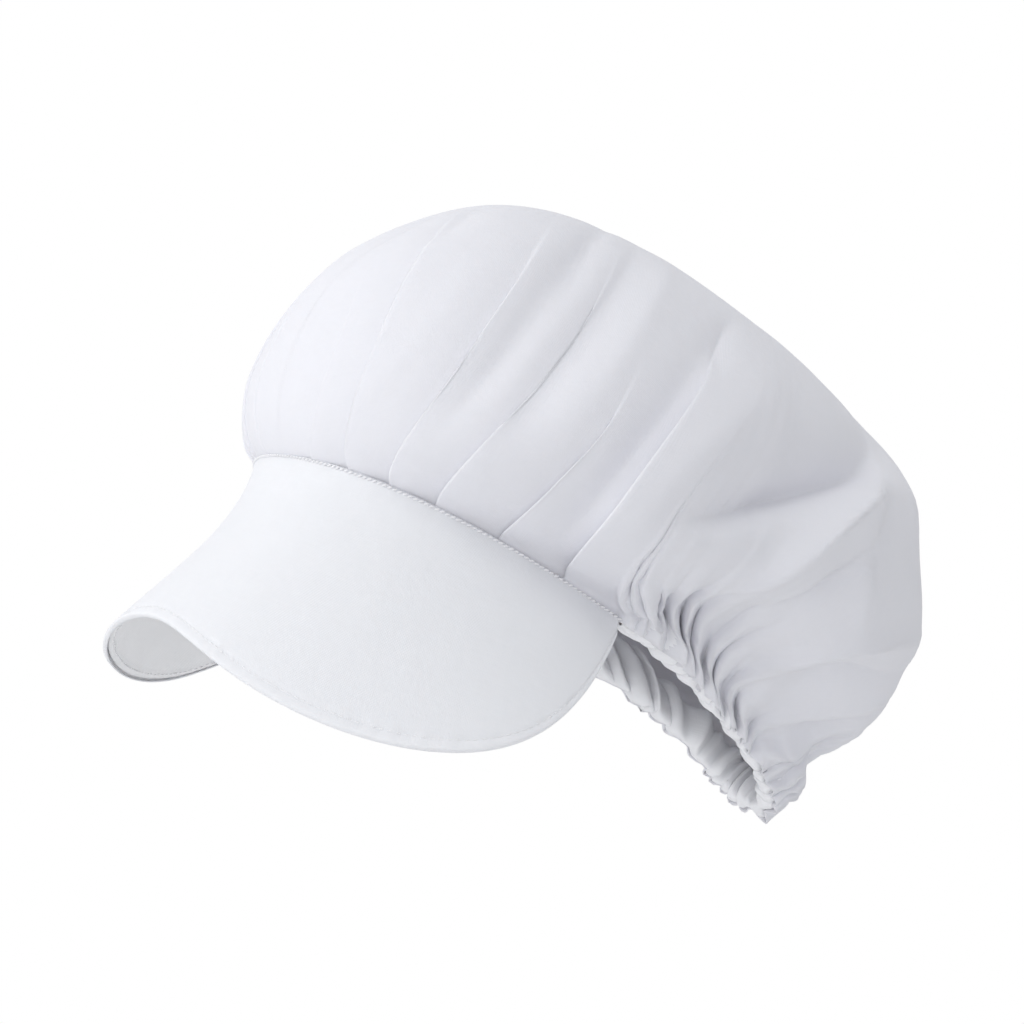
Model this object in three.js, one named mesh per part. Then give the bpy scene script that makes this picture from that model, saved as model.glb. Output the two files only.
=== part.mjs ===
// Bouffant work cap: a gathered cloth crown, a two-ply peak and an elasticated hem, in millimetres.
// It has the form it takes on a head: +Z is up, the peak points to -Y and +X is the wearer's left.
// The origin is the middle of the head opening, at the height of the crown's front seam.
import * as THREE from 'three';

// Cloth thicknesses, and how far inside the casing's ends the elastic stops
const CROWN_WALL = 1.2;
const PEAK_PLY = 1.0;
const CASING_PLY = 1.0;
const ELASTIC_THICKNESS = 1.0;
const ELASTIC_INSET = 0.4;

// Seam between crown and peak: a rounded-off half oval that drops towards the wearer's ears
const SEAM = { halfDepth: 96.5, halfWidth: 80.7, roundness: 2.26, turnDegrees: 82.9, drop: 53.4 };

// Elasticated hem, from the end of the seam to the nape, drawn in to a narrow tail
const NAPE = new THREE.Vector3(0, 96.8, -135.4);
const HEM_LEAVE = new THREE.Vector3(-81.3, 87.6, -28.8);
const HEM_NAPE_HALF_TURN = 32.8;

// Front edge of the peak: centre, three shaping points and the swing that brings it back to the seam
const PEAK_EDGE_SHAPE = [
  { x: 0, y: -147.5, z: -50 },
  { x: 44.5, y: -147.5, z: -50 },
  { x: 59, y: -154.8, z: -79.4 },
  { x: 116.5, y: -90.6, z: -95 },
  { x: 141.3, y: -80.8, z: -96.3 },
];

// Peak: how far it arches up, the dent that wear has pressed into it, and how its root sits under the seam
const PEAK_CAMBER = 3;
const PEAK_SAG = { depth: 9.6, place: 0.4, centre: -0.15, width: 0.45 };
const PEAK_END = 0.985;
const PEAK_COLUMNS = 12;
const PEAK_ROWS = 5;
const PEAK_ROOT_DROP = 1.0;
const PEAK_ROOT_TUCK = 1.2;
const PEAK_PLY_SPACING = 1.6;

// Crown form: for each level of the cloth, its reach or rise at the front, the sides and the back
const CROWN_FORM = {
  rimOut: { front: 9, side: 26.5, back: 6 },
  rimUp: { front: 4.5, side: 10, back: 21 },
  bulgeReach: { front: 143.5, side: 135, back: 139 },
  bulgeHeight: { front: 22, side: 29, back: 20 },
  shoulderReach: { front: 148, side: 119, back: 150 },
  shoulderHeight: { front: 66, side: 79, back: 52 },
  ridgeRun: { front: -31, side: 5, back: 33 },
};

// Midline of the crown's top, from above the forehead to the back of the bag
const RIDGE_SHAPE = [
  { y: -44, z: 79.5 },
  { y: 15, z: 106.5 },
  { y: 84.5, z: 43.5 },
  { y: 136.5, z: 9 },
];
const RIDGE_HALF_WIDTH = 59;
const RIDGE_WIDTH_POWER = 0.7;
const RIDGE_LEAN = 0.9;

// Beside the rim the cloth stands up before it bellies out: height and climb of the most, at seam and hem
const STAND_AT_SEAM = { height: 4, climb: 0.04 };
const STAND_AT_HEM = { height: 11, climb: 0.1 };
const STAND_WAY = { up: 0.9, out: -0.55 };
const STAND_STARTS_BEFORE_SEAM_END = 15;
const STAND_GROWS_OVER = 40;

// Knife pleats: place along the rim from the front centre, height they reach, depth and reach of the lip
const PLEATS = [
  { along: 14.5, reaches: 0.5, depth: 2.0, lip: 6 },
  { along: 26.9, reaches: 0.85, depth: 3.4, lip: 8 },
  { along: 48.3, reaches: 0.85, depth: 4.6, lip: 9 },
  { along: 68.7, reaches: 0.8, depth: 5.4, lip: 10 },
  { along: 91.3, reaches: 0.55, depth: 4.8, lip: 10 },
  { along: 111.4, reaches: 0.8, depth: 5.6, lip: 11 },
];
const PLEAT_STEP = 0.8;
const PLEAT_RECESS = 5;
const PLEAT_FLAT_AT_SEAM = 0.3;
const PLEAT_OPENS_BY = 0.22;
const PLEAT_STATIONS = [-4, -0.8, 0.8, 5];
const WIDEST_SEAM_STEP = 11;

// Gathers that the elastic makes: short ruffles at the hem that run out into long soft folds
const RUFFLES_PER_SIDE = 11.25;
const LONG_FOLDS_PER_SIDE = 5.25;
const HEM_STEPS = 45;
const UNEVEN_SPACING = [
  { share: 0.016, halfWaves: 5 },
  { share: 0.008, halfWaves: 9 },
];
const RUFFLE_HEIGHT = 2.4;
const RUFFLE_FADE = 0.1;
const LONG_FOLD_HEIGHT = 3.4;
const LONG_FOLD_PEAK = 0.16;

// Elastic casing and the elastic in it
const CASING_WIDTH = 15;
const CASING_HALF_DEPTH = 1.7;
const CASING_PUFF_OUT = 1.7;
const CASING_PUFF_IN = 1.3;
const CASING_FLAT = 0.62;
const CASING_FROM_SEAM = 3.2;
const CASING_TO_CROWN = 2;
const ELASTIC_WIDTH = 8;

// Rows of the crown, from its lower edge to the ridge
const CROWN_ROWS = [0, 0.04, 0.1, 0.18, 0.28, 0.4, 0.54, 0.69, 0.84, 1];
const LOWER_EDGE_FADE = 6;
const FOLDS_SETTLE_OVER = 0.25;

// Steps used to measure along a line of cloth and to find the crown's outward direction
const LINE_STEPS = 200;
const NORMAL_REACH = { along: 0.5, climb: 0.02 };
const SEAM_START = 0.001;

// Axes of the sloping plane that the rim lies in: back along the slope, across, and away from the head
const RIM_SLOPE = Math.atan2(-NAPE.z, NAPE.y + SEAM.halfDepth);
const RIM_MIDDLE = new THREE.Vector3(0, (NAPE.y - SEAM.halfDepth) / 2, NAPE.z / 2);
const RIM_HALF_LENGTH = Math.hypot(NAPE.z, NAPE.y + SEAM.halfDepth) / 2;
const BACKWARD = new THREE.Vector3(0, Math.cos(RIM_SLOPE), -Math.sin(RIM_SLOPE));
const ACROSS = new THREE.Vector3(1, 0, 0);
const UPWARD = new THREE.Vector3(0, Math.sin(RIM_SLOPE), Math.cos(RIM_SLOPE));

// Point on a Bezier curve of any degree, by repeated halving between its shaping points
function bezierPoint(shapingPoints, t) {
  let points = shapingPoints;
  while (points.length > 1) {
    points = points.slice(1).map((point, i) => points[i].clone().lerp(point, t));
  }
  return points[0];
}

// Half of the seam between crown and peak, from the front centre to its end
class SeamCurve extends THREE.Curve {
  getPoint(t, target = new THREE.Vector3()) {
    const angle = t * THREE.MathUtils.degToRad(SEAM.turnDegrees);
    const power = 2 / SEAM.roundness;
    const x = SEAM.halfWidth * Math.sin(angle) ** power;
    const y = -SEAM.halfDepth * Math.cos(angle) ** power;
    return target.set(x, y, -SEAM.drop * t * t);
  }
}

const seam = new SeamCurve();
const seamEnd = seam.getPoint(1);
const hem = new THREE.CubicBezierCurve3(
  seamEnd,
  seamEnd.clone().add(HEM_LEAVE),
  NAPE.clone().add(new THREE.Vector3(HEM_NAPE_HALF_TURN, 0, 0)),
  NAPE,
);
const rim = new THREE.CurvePath();
rim.add(seam);
rim.add(hem);
const SEAM_LENGTH = seam.getLength();
const HEM_LENGTH = hem.getLength();
const RIM_LENGTH = SEAM_LENGTH + HEM_LENGTH;

// Value that passes smoothly from front to side to back, for a cosine of 1 at the front
function around(values, cosine) {
  const lean = (values.front - values.back) / 2;
  const bow = (values.front + values.back) / 2 - values.side;
  return values.side + lean * cosine + bow * cosine * cosine;
}

// Midline of the crown's top, and the way it runs there
const ridge = new THREE.CubicBezierCurve3(...RIDGE_SHAPE.map(({ y, z }) => new THREE.Vector3(0, y, z)));

// Shaping points of the line of cloth that climbs from one place on the rim to the ridge
function crownLine(along) {
  const u = along / RIM_LENGTH;
  const start = rim.getPoint(u);
  const fromMiddle = start.clone().sub(RIM_MIDDLE);
  const outward = new THREE.Vector3()
    .addScaledVector(BACKWARD, fromMiddle.dot(BACKWARD) / RIM_HALF_LENGTH)
    .addScaledVector(ACROSS, fromMiddle.x / SEAM.halfWidth)
    .normalize();
  const cosine = -outward.dot(BACKWARD);
  const level = (reach, height) => RIM_MIDDLE.clone()
    .addScaledVector(outward, around(reach, cosine))
    .addScaledVector(UPWARD, around(height, cosine));
  const ridgePlace = u + RIDGE_LEAN * u * (1 - u);
  const top = ridge.getPoint(ridgePlace);
  const beside = RIDGE_HALF_WIDTH * Math.max(0, Math.sin(Math.PI * u)) ** RIDGE_WIDTH_POWER;
  const shape = [
    start,
    start.clone()
      .addScaledVector(outward, around(CROWN_FORM.rimOut, cosine))
      .addScaledVector(UPWARD, around(CROWN_FORM.rimUp, cosine)),
    level(CROWN_FORM.bulgeReach, CROWN_FORM.bulgeHeight),
    level(CROWN_FORM.shoulderReach, CROWN_FORM.shoulderHeight),
    top.clone()
      .addScaledVector(ACROSS, beside)
      .addScaledVector(ridge.getTangent(ridgePlace), around(CROWN_FORM.ridgeRun, cosine)),
    top,
  ];
  const atHem = THREE.MathUtils.smoothstep(along - SEAM_LENGTH, -STAND_STARTS_BEFORE_SEAM_END,
    STAND_GROWS_OVER - STAND_STARTS_BEFORE_SEAM_END);
  const mostHeight = THREE.MathUtils.lerp(STAND_AT_SEAM.height, STAND_AT_HEM.height, atHem);
  const standHeight = mostHeight * (1 - cosine * cosine);
  const standClimb = THREE.MathUtils.lerp(STAND_AT_SEAM.climb, STAND_AT_HEM.climb, atHem);
  const standWay = new THREE.Vector3()
    .addScaledVector(UPWARD, STAND_WAY.up)
    .addScaledVector(outward, STAND_WAY.out);
  return { start, shape, standHeight, standClimb, standWay };
}

// Point of a line of cloth at a climb
function clothPoint(line, climb) {
  const place = climb / line.standClimb;
  return bezierPoint(line.shape, climb)
    .addScaledVector(line.standWay, line.standHeight * place * Math.exp(1 - place));
}

// Places along the rim where ruffles crest, sink and cross over, unevenly spaced
function rufflePlace(k) {
  const t = k / HEM_STEPS;
  let shifted = t;
  for (const { share, halfWaves } of UNEVEN_SPACING) shifted += share * Math.sin(halfWaves * Math.PI * t);
  return SEAM_LENGTH + HEM_LENGTH * shifted;
}

// How far the cloth stands out of the smooth form in the pleats above the peak
function pleatHeight(along, climb) {
  let height = 0;
  for (const pleat of PLEATS) {
    const fromCrease = along - pleat.along;
    const fade = Math.max(0, 1 - climb / pleat.reaches);
    const opening = Math.min(1, PLEAT_FLAT_AT_SEAM + climb / PLEAT_OPENS_BY);
    const step = fromCrease / Math.hypot(fromCrease, PLEAT_STEP);
    const reach = fromCrease > 0 ? pleat.lip : PLEAT_RECESS;
    height += 0.5 * pleat.depth * opening * fade * step * Math.exp(-Math.abs(fromCrease) / reach);
  }
  return height;
}

// Height of a row of folds behind the seam, from -1 to 1, with a crest at the nape
function foldWave(foldsPerSide, k) {
  return Math.sin((2 * Math.PI * foldsPerSide * k) / HEM_STEPS);
}

// How far the cloth stands out in the gathers behind the seam, for a ruffle station k
function gatherHeight(k, climb) {
  const ruffle = RUFFLE_HEIGHT * foldWave(RUFFLES_PER_SIDE, k) * Math.exp(-climb / RUFFLE_FADE);
  const grown = (climb / LONG_FOLD_PEAK) * Math.exp(1 - climb / LONG_FOLD_PEAK);
  return ruffle + LONG_FOLD_HEIGHT * foldWave(LONG_FOLDS_PER_SIDE, k) * grown;
}

// Columns of the crown, each with its place along the rim and its ruffle station where it has one
function crownColumns() {
  const seamPlaces = [0];
  for (const { along } of PLEATS) {
    seamPlaces.push(...PLEAT_STATIONS.map((offset) => along + offset));
  }
  seamPlaces.push(SEAM_LENGTH);
  const columns = [];
  for (let i = 0; i < seamPlaces.length - 1; i += 1) {
    const width = seamPlaces[i + 1] - seamPlaces[i];
    const parts = Math.ceil(width / WIDEST_SEAM_STEP);
    for (let part = 0; part < parts; part += 1) {
      columns.push({ along: seamPlaces[i] + (width * part) / parts, station: null });
    }
  }
  columns.push({ along: SEAM_LENGTH, station: null });
  columns.push({ along: SEAM_LENGTH + CASING_FROM_SEAM / 2, station: 0 });
  for (let k = 1; k <= HEM_STEPS; k += 1) {
    columns.push({ along: rufflePlace(k), station: k });
  }
  return columns;
}

// Fraction of a cloth line, measured from the rim, that is a given distance long
function climbFor(line, distance) {
  let travelled = 0;
  let before = line.start;
  for (let i = 1; i <= LINE_STEPS; i += 1) {
    const here = clothPoint(line, i / LINE_STEPS);
    travelled += here.distanceTo(before);
    if (travelled >= distance) return i / LINE_STEPS;
    before = here;
  }
  return 1;
}

// Outward direction of the smooth crown at a place along the rim and a climb
function crownNormal(along, climb) {
  const reach = NORMAL_REACH.along;
  const line = crownLine(along);
  const low = Math.max(0, climb - NORMAL_REACH.climb / 2);
  const up = clothPoint(line, low + NORMAL_REACH.climb).sub(clothPoint(line, low));
  const behind = clothPoint(crownLine(Math.min(RIM_LENGTH, along + reach)), climb);
  const ahead = clothPoint(crownLine(Math.max(0, along - reach)), climb);
  if (along < reach) ahead.x = -behind.x;
  if (along > RIM_LENGTH - reach) behind.x = -ahead.x;
  const normal = behind.sub(ahead).cross(up);
  const onMidline = along < reach || along > RIM_LENGTH - reach;
  if (onMidline) normal.x = 0;
  return normal.normalize();
}

// Turns a sheet of points and four-cornered faces into a closed wall of even thickness
function wallGeometry({ points, faces }, thickness) {
  const normals = points.map(() => new THREE.Vector3());
  const edgeUses = new Map();
  for (const [a, b, c, d] of faces) {
    const diagonal = points[d].clone().sub(points[b]);
    const normal = points[c].clone().sub(points[a]).cross(diagonal);
    for (const corner of [a, b, c, d]) normals[corner].add(normal);
    for (const [from, to] of [[a, b], [b, c], [c, d], [d, a]]) {
      const key = `${Math.min(from, to)} ${Math.max(from, to)}`;
      edgeUses.set(key, edgeUses.has(key) ? null : [from, to]);
    }
  }
  const positions = [];
  for (const side of [0.5, -0.5]) {
    points.forEach((point, i) => {
      const place = point.clone().addScaledVector(normals[i].normalize(), side * thickness);
      positions.push(place.x, place.y, place.z);
    });
  }
  const inner = points.length;
  const triangles = [];
  for (const [a, b, c, d] of faces) {
    triangles.push(a, b, c, a, c, d);
    triangles.push(inner + a, inner + c, inner + b, inner + a, inner + d, inner + c);
  }
  for (const edge of edgeUses.values()) {
    if (edge) {
      const [from, to] = edge;
      triangles.push(from, inner + from, inner + to, from, inner + to, to);
    }
  }
  const geometry = new THREE.BufferGeometry();
  geometry.setAttribute('position', new THREE.Float32BufferAttribute(positions, 3));
  geometry.setIndex(triangles);
  geometry.computeVertexNormals();
  return geometry;
}

// Faces of a plain grid of points, column by column, with the last row joined to the first if closed
function gridFaces(columns, rows, closed) {
  const faces = [];
  const lastRow = closed ? rows : rows - 1;
  for (let i = 0; i < columns - 1; i += 1) {
    for (let j = 0; j < lastRow; j += 1) {
      const next = (j + 1) % rows;
      faces.push([i * rows + j, (i + 1) * rows + j, (i + 1) * rows + next, i * rows + next]);
    }
  }
  return faces;
}

// Crown: both halves of the gathered bag, joined along the midline
function crownSheet() {
  const columns = crownColumns();
  const lastColumn = columns.length - 1;
  const lastRow = CROWN_ROWS.length - 1;
  const points = [];
  const index = {};
  const indexOf = (side, i, j) => {
    const onMidline = i === 0 || i === lastColumn || j === lastRow;
    return index[`${onMidline ? 1 : side} ${i} ${j}`];
  };
  for (const side of [1, -1]) {
    columns.forEach(({ along, station }, i) => {
      const line = crownLine(along);
      const lowest = station === null ? 0 : climbFor(line, CASING_WIDTH + CASING_TO_CROWN);
      CROWN_ROWS.forEach((row, j) => {
        if (indexOf(side, i, j) !== undefined) return;
        const climb = row + lowest * (1 - row) ** LOWER_EDGE_FADE;
        const above = climb - lowest;
        const fold = station === null ? pleatHeight(along, climb) : gatherHeight(station, above);
        const settled = Math.sin((Math.PI / 2) * Math.min(1, (1 - climb) / FOLDS_SETTLE_OVER));
        const point = clothPoint(line, climb);
        if (j < lastRow) point.addScaledVector(crownNormal(along, climb), fold * settled);
        point.x *= side;
        index[`${side} ${i} ${j}`] = points.length;
        points.push(point);
      });
    });
  }
  const faces = [];
  for (let i = 0; i < lastColumn; i += 1) {
    for (let j = 0; j < lastRow; j += 1) {
      const corners = (side) => [[i, j], [i + 1, j], [i + 1, j + 1], [i, j + 1]].map(
        ([column, row]) => indexOf(side, column, row),
      );
      faces.push(corners(1));
      faces.push(corners(-1).reverse());
    }
  }
  return { points, faces };
}

// How far the worn peak is pressed in, for a signed share along the seam and a share out to the edge
function peakSag(a, b) {
  const place = b / PEAK_SAG.place;
  const offCentre = (a - PEAK_SAG.centre) / PEAK_SAG.width;
  return PEAK_SAG.depth * place * Math.exp(1 - place - offCentre * offCentre) * (1 - b ** 4);
}

// Peak: one ply of cloth from under the seam to the front edge, pushed down by a given depth
function peakSheet(depth) {
  const edgeShape = PEAK_EDGE_SHAPE.map(({ x, y, z }) => new THREE.Vector3(x, y, z));
  edgeShape.push(seamEnd);
  const points = [];
  for (let i = -PEAK_COLUMNS; i <= PEAK_COLUMNS; i += 1) {
    const a = (PEAK_END * Math.abs(i)) / PEAK_COLUMNS;
    const root = seam.getPointAt(a);
    const outward = root.clone().sub(RIM_MIDDLE).projectOnPlane(UPWARD).normalize();
    root.addScaledVector(UPWARD, -PEAK_ROOT_DROP).addScaledVector(outward, -PEAK_ROOT_TUCK);
    const edge = bezierPoint(edgeShape, a);
    const fall = edge.clone().sub(root);
    const alongSeam = seam.getTangentAt(Math.max(a, SEAM_START));
    const lift = alongSeam.cross(fall).normalize().negate();
    for (let j = 0; j <= PEAK_ROWS; j += 1) {
      const b = j / PEAK_ROWS;
      const camber = 4 * PEAK_CAMBER * b * (1 - b) * (1 - a * a);
      const rise = camber - peakSag(i < 0 ? -a : a, b);
      const point = root.clone().addScaledVector(fall, b).addScaledVector(lift, rise - depth);
      if (i < 0) point.x = -point.x;
      if (i === 0) point.x = 0;
      points.push(point);
    }
  }
  return { points, faces: gridFaces(2 * PEAK_COLUMNS + 1, PEAK_ROWS + 1, false) };
}

// Stations along the hem from one end of the peak round the nape to the other
function hemStations(firstAlong) {
  const half = [];
  for (let k = 0; k <= HEM_STEPS; k += 1) {
    const along = k === 0 ? firstAlong : rufflePlace(k);
    const line = crownLine(along);
    const low = line.start;
    const high = clothPoint(line, climbFor(line, CASING_WIDTH));
    const normal = crownNormal(along, 0.5 * climbFor(line, CASING_WIDTH));
    half.push({
      k,
      middle: low.clone().add(high).multiplyScalar(0.5),
      halfWidth: high.sub(low).multiplyScalar(0.5),
      normal,
    });
  }
  const mirror = (vector) => new THREE.Vector3(-vector.x, vector.y, vector.z);
  const otherHalf = half.slice(0, -1).reverse().map((station) => ({
    k: station.k,
    middle: mirror(station.middle),
    halfWidth: mirror(station.halfWidth),
    normal: mirror(station.normal),
  }));
  return [...half, ...otherHalf];
}

// Casing: a flat tube of cloth around the elastic, puffed out at each ruffle on both faces
function casingSheet() {
  const stations = hemStations(SEAM_LENGTH + CASING_FROM_SEAM);
  const outerHalf = [[-1, 0], [-CASING_FLAT, 1], [CASING_FLAT, 1]];
  const section = [...outerHalf, ...outerHalf.map(([across, out]) => [-across, -out])];
  const points = [];
  for (const { k, middle, halfWidth, normal } of stations) {
    const wave = foldWave(RUFFLES_PER_SIDE, k);
    for (const [across, out] of section) {
      const puffed = out > 0 ? CASING_PUFF_OUT * (1 + wave) : CASING_PUFF_IN * (1 - wave);
      const depth = out * (CASING_HALF_DEPTH + puffed / 2);
      points.push(middle.clone().addScaledVector(halfWidth, across).addScaledVector(normal, depth));
    }
  }
  return { points, faces: gridFaces(stations.length, section.length, true) };
}

// Elastic: a flat band along the middle of the casing
function elasticSheet() {
  const points = [];
  const stations = hemStations(SEAM_LENGTH + CASING_FROM_SEAM + ELASTIC_INSET);
  for (const { middle, halfWidth } of stations) {
    const across = halfWidth.clone().setLength(ELASTIC_WIDTH / 2);
    points.push(middle.clone().sub(across), middle.clone().add(across));
  }
  return { points, faces: gridFaces(stations.length, 2, false) };
}

// Cloth colours
const CROWN_WHITE = 0xe2e2ea;
const PEAK_WHITE = 0xe9eaee;
const UNDERSIDE_WHITE = 0xdddde0;
const CASING_WHITE = 0xdcdbe2;
const ELASTIC_WHITE = 0xf1efe9;

function piece(name, sheet, thickness, color, roughness) {
  const material = new THREE.MeshStandardMaterial({ color, roughness, metalness: 0 });
  const mesh = new THREE.Mesh(wallGeometry(sheet, thickness), material);
  mesh.name = name;
  return mesh;
}

const cap = new THREE.Group();
cap.name = 'bouffant_cap';
cap.add(piece('crown', crownSheet(), CROWN_WALL, CROWN_WHITE, 0.9));
cap.add(piece('peak_top', peakSheet(0), PEAK_PLY, PEAK_WHITE, 0.88));
cap.add(piece('peak_underside', peakSheet(PEAK_PLY_SPACING), PEAK_PLY, UNDERSIDE_WHITE, 0.9));
cap.add(piece('hem_casing', casingSheet(), CASING_PLY, CASING_WHITE, 0.9));
cap.add(piece('hem_elastic', elasticSheet(), ELASTIC_THICKNESS, ELASTIC_WHITE, 0.95));

export default cap;
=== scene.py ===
"""Bouffant work cap: pleated and gathered crown, soft two-ply peak and elasticated hem.

Lengths in the tables are millimetres, as a pattern cutter would note them; meshes are made in metres.
The cap is in its worn form: +Z is up, the peak points to -Y and +X is the wearer's left.
"""
import math

import bpy
import numpy as np
from bpy.props import FloatProperty, FloatVectorProperty, PointerProperty
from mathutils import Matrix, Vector


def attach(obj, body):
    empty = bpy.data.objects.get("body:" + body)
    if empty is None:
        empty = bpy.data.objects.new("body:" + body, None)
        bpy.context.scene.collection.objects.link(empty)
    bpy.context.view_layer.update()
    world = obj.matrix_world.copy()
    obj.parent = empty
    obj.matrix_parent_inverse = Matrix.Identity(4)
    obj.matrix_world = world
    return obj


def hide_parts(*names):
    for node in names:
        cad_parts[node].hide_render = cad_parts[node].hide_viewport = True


bl_info = {
    "name": "Bouffant cap",
    "version": (1, 0, 0),
    "blender": (4, 5, 0),
    "location": "View3D > Sidebar > Bouffant cap",
    "description": "Builds a bouffant work cap around its packed frame",
    "category": "Object",
}

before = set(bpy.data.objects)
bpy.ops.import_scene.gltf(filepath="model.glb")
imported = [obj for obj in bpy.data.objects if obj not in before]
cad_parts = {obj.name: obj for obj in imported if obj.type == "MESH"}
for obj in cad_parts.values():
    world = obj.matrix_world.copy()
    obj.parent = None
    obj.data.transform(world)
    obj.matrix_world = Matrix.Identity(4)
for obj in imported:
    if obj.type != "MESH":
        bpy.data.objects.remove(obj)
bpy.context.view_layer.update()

MM = 0.001
BODY = "root"

# Seam between crown and peak, and the elasticated hem from its end to the nape
SEAM_HALF_DEPTH = 96.5
SEAM_HALF_WIDTH = 80.7
SEAM_ROUNDNESS = 2.26
SEAM_TURN = math.radians(82.9)
SEAM_DROP = 53.4
NAPE = np.array([0.0, 96.8, -135.4])
HEM_LEAVE = np.array([-81.3, 87.6, -28.8])
HEM_NAPE_HALF_TURN = np.array([32.8, 0.0, 0.0])

# Crown form: reach or rise of each level of the cloth at the front, the sides and the back
RIM_OUT = (9, 26.5, 6)
RIM_UP = (4.5, 10, 21)
BULGE_REACH = (143.5, 135, 139)
BULGE_HEIGHT = (22, 29, 20)
SHOULDER_REACH = (148, 119, 150)
SHOULDER_HEIGHT = (66, 79, 52)
RIDGE_RUN = (-31, 5, 33)
RIDGE_SHAPE = np.array([(0, -44, 79.5), (0, 15, 106.5), (0, 84.5, 43.5), (0, 136.5, 9)], float)
RIDGE_HALF_WIDTH = 59
RIDGE_WIDTH_POWER = 0.7
RIDGE_LEAN = 0.9

# Beside the rim the cloth stands up before it bellies out: height and climb of the most, at seam and hem
STAND_HEIGHT = (4.0, 11.0)
STAND_CLIMB = (0.04, 0.10)
STAND_WAY = (0.9, -0.55)
STAND_CHANGES_BEFORE = 15
STAND_CHANGES_OVER = 40

# Above the rim the form's bend where seam and hem meet is smoothed out, over a width along the rim
BEND_SMOOTHING = 16.0
BEND_WIDTH = 30.0
BEND_STARTS = 0.03
BEND_GROWS_OVER = 0.25
BEND_WEIGHTS = [(-1.0, 0.15), (-0.5, 0.22), (0.0, 0.26), (0.5, 0.22), (1.0, 0.15)]

# Front edge of the peak: shaping points from its centre to the seam's end
PEAK_EDGE_SHAPE = [
    # across, along, up
    (0, -147.5, -50),
    (44.5, -147.5, -50),
    (59, -154.8, -79.4),
    (116.5, -90.6, -95),
    (141.3, -80.8, -96.3),
]

# Peak: how far along the seam it reaches, how its root sits, its arch and the dent that wear has made
PEAK_END = 0.985
PEAK_ROOT_OUT = 1.5
PEAK_ROOT_UP = 0.5
PEAK_CAMBER = 3.0
PEAK_SAG = 8.4
PEAK_SAG_PLACE = 0.4
PEAK_SAG_CENTRE = -0.15
PEAK_SAG_WIDTH = 0.45

# Stitches of the peak and the small puckers that they draw in
EDGE_STITCH_INSET = 3.2
EDGE_STITCH_END = 0.985
EDGE_INSET_LEAST = 8
EDGE_GROOVE = 0.35
EDGE_GROOVE_WIDTH = 0.8
EDGE_PUCKER_WIDTH = 2.4
SEAM_PUCKER_RUN = 5
SEAM_PUCKER_GROWS_OVER = 1.5
PEAK_WAVE_GROWS_OVER = 12
SEAM_STITCH_PLACE = 0.012
SEAM_STITCH_LIFT = 0.55
SEAM_THREAD_BOLDER = 1.9
THREAD_LIFT = 0.32

# The peak's lower ply, and the turn of the upper one over the front edge
UNDERSIDE_DEPTH = 1.3
UNDERSIDE_INSET = 0.012
EDGE_TURNS = (0.6, 1.2, 1.9, 2.6)
EDGE_TURN_OUT = 0.45
EDGE_TURN_DEPTH = 1.0
EDGE_LOOK_BACK = 0.03

# Knife pleats above the peak. Places are along the rim from the front centre at the foot, middle and top
# of the pleat; climbs run from 0 at the rim to 1 at the crown's midline.
PLEATS = [
    # foot, middle, top, reaches, depth, overlap, in front, behind
    (16, 17, 10, 0.66, 2.2, 1.6, 4, 8),
    (35, 27, 18, 1.00, 3.6, 2.8, 5, 9),
    (51, 51, 54, 0.92, 4.2, 3.2, 5, 9),
    (68, 71, 77, 0.88, 4.8, 3.6, 5, 10),
    (91, 93, 92, 0.62, 4.4, 3.6, 6, 11),
    (117, 110, 120, 0.84, 5.8, 4.2, 14, 11),
]
FLATTER_FAR_PLEATS = 3
FLATTER_SHARE = 0.35
PLEAT_CREASE = 0.9
PLEAT_FOLD_WIDTH = 2.4
PLEAT_FLAT_AT_SEAM = 0.45
PLEAT_OPENS_BY = 0.16
PLEAT_FADES_OVER = 0.55
PLEAT_OVERLAP_FADE = 1.5

# How far the cloth behind the pleats leans towards the front as it climbs from the hem
HEM_DRIFT = [
    # place, drift
    (141, -14),
    (165, -30),
    (190, -37),
    (225, -37),
    (257, -29),
    (268, -14),
    (276, -2),
    (285, 0),
]
DRIFT_CLIMB = 0.15
DRIFT_MOST = 1.3
DRIFT_FADES_FROM = 0.4
DRIFT_FADES_OVER = 0.5

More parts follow.
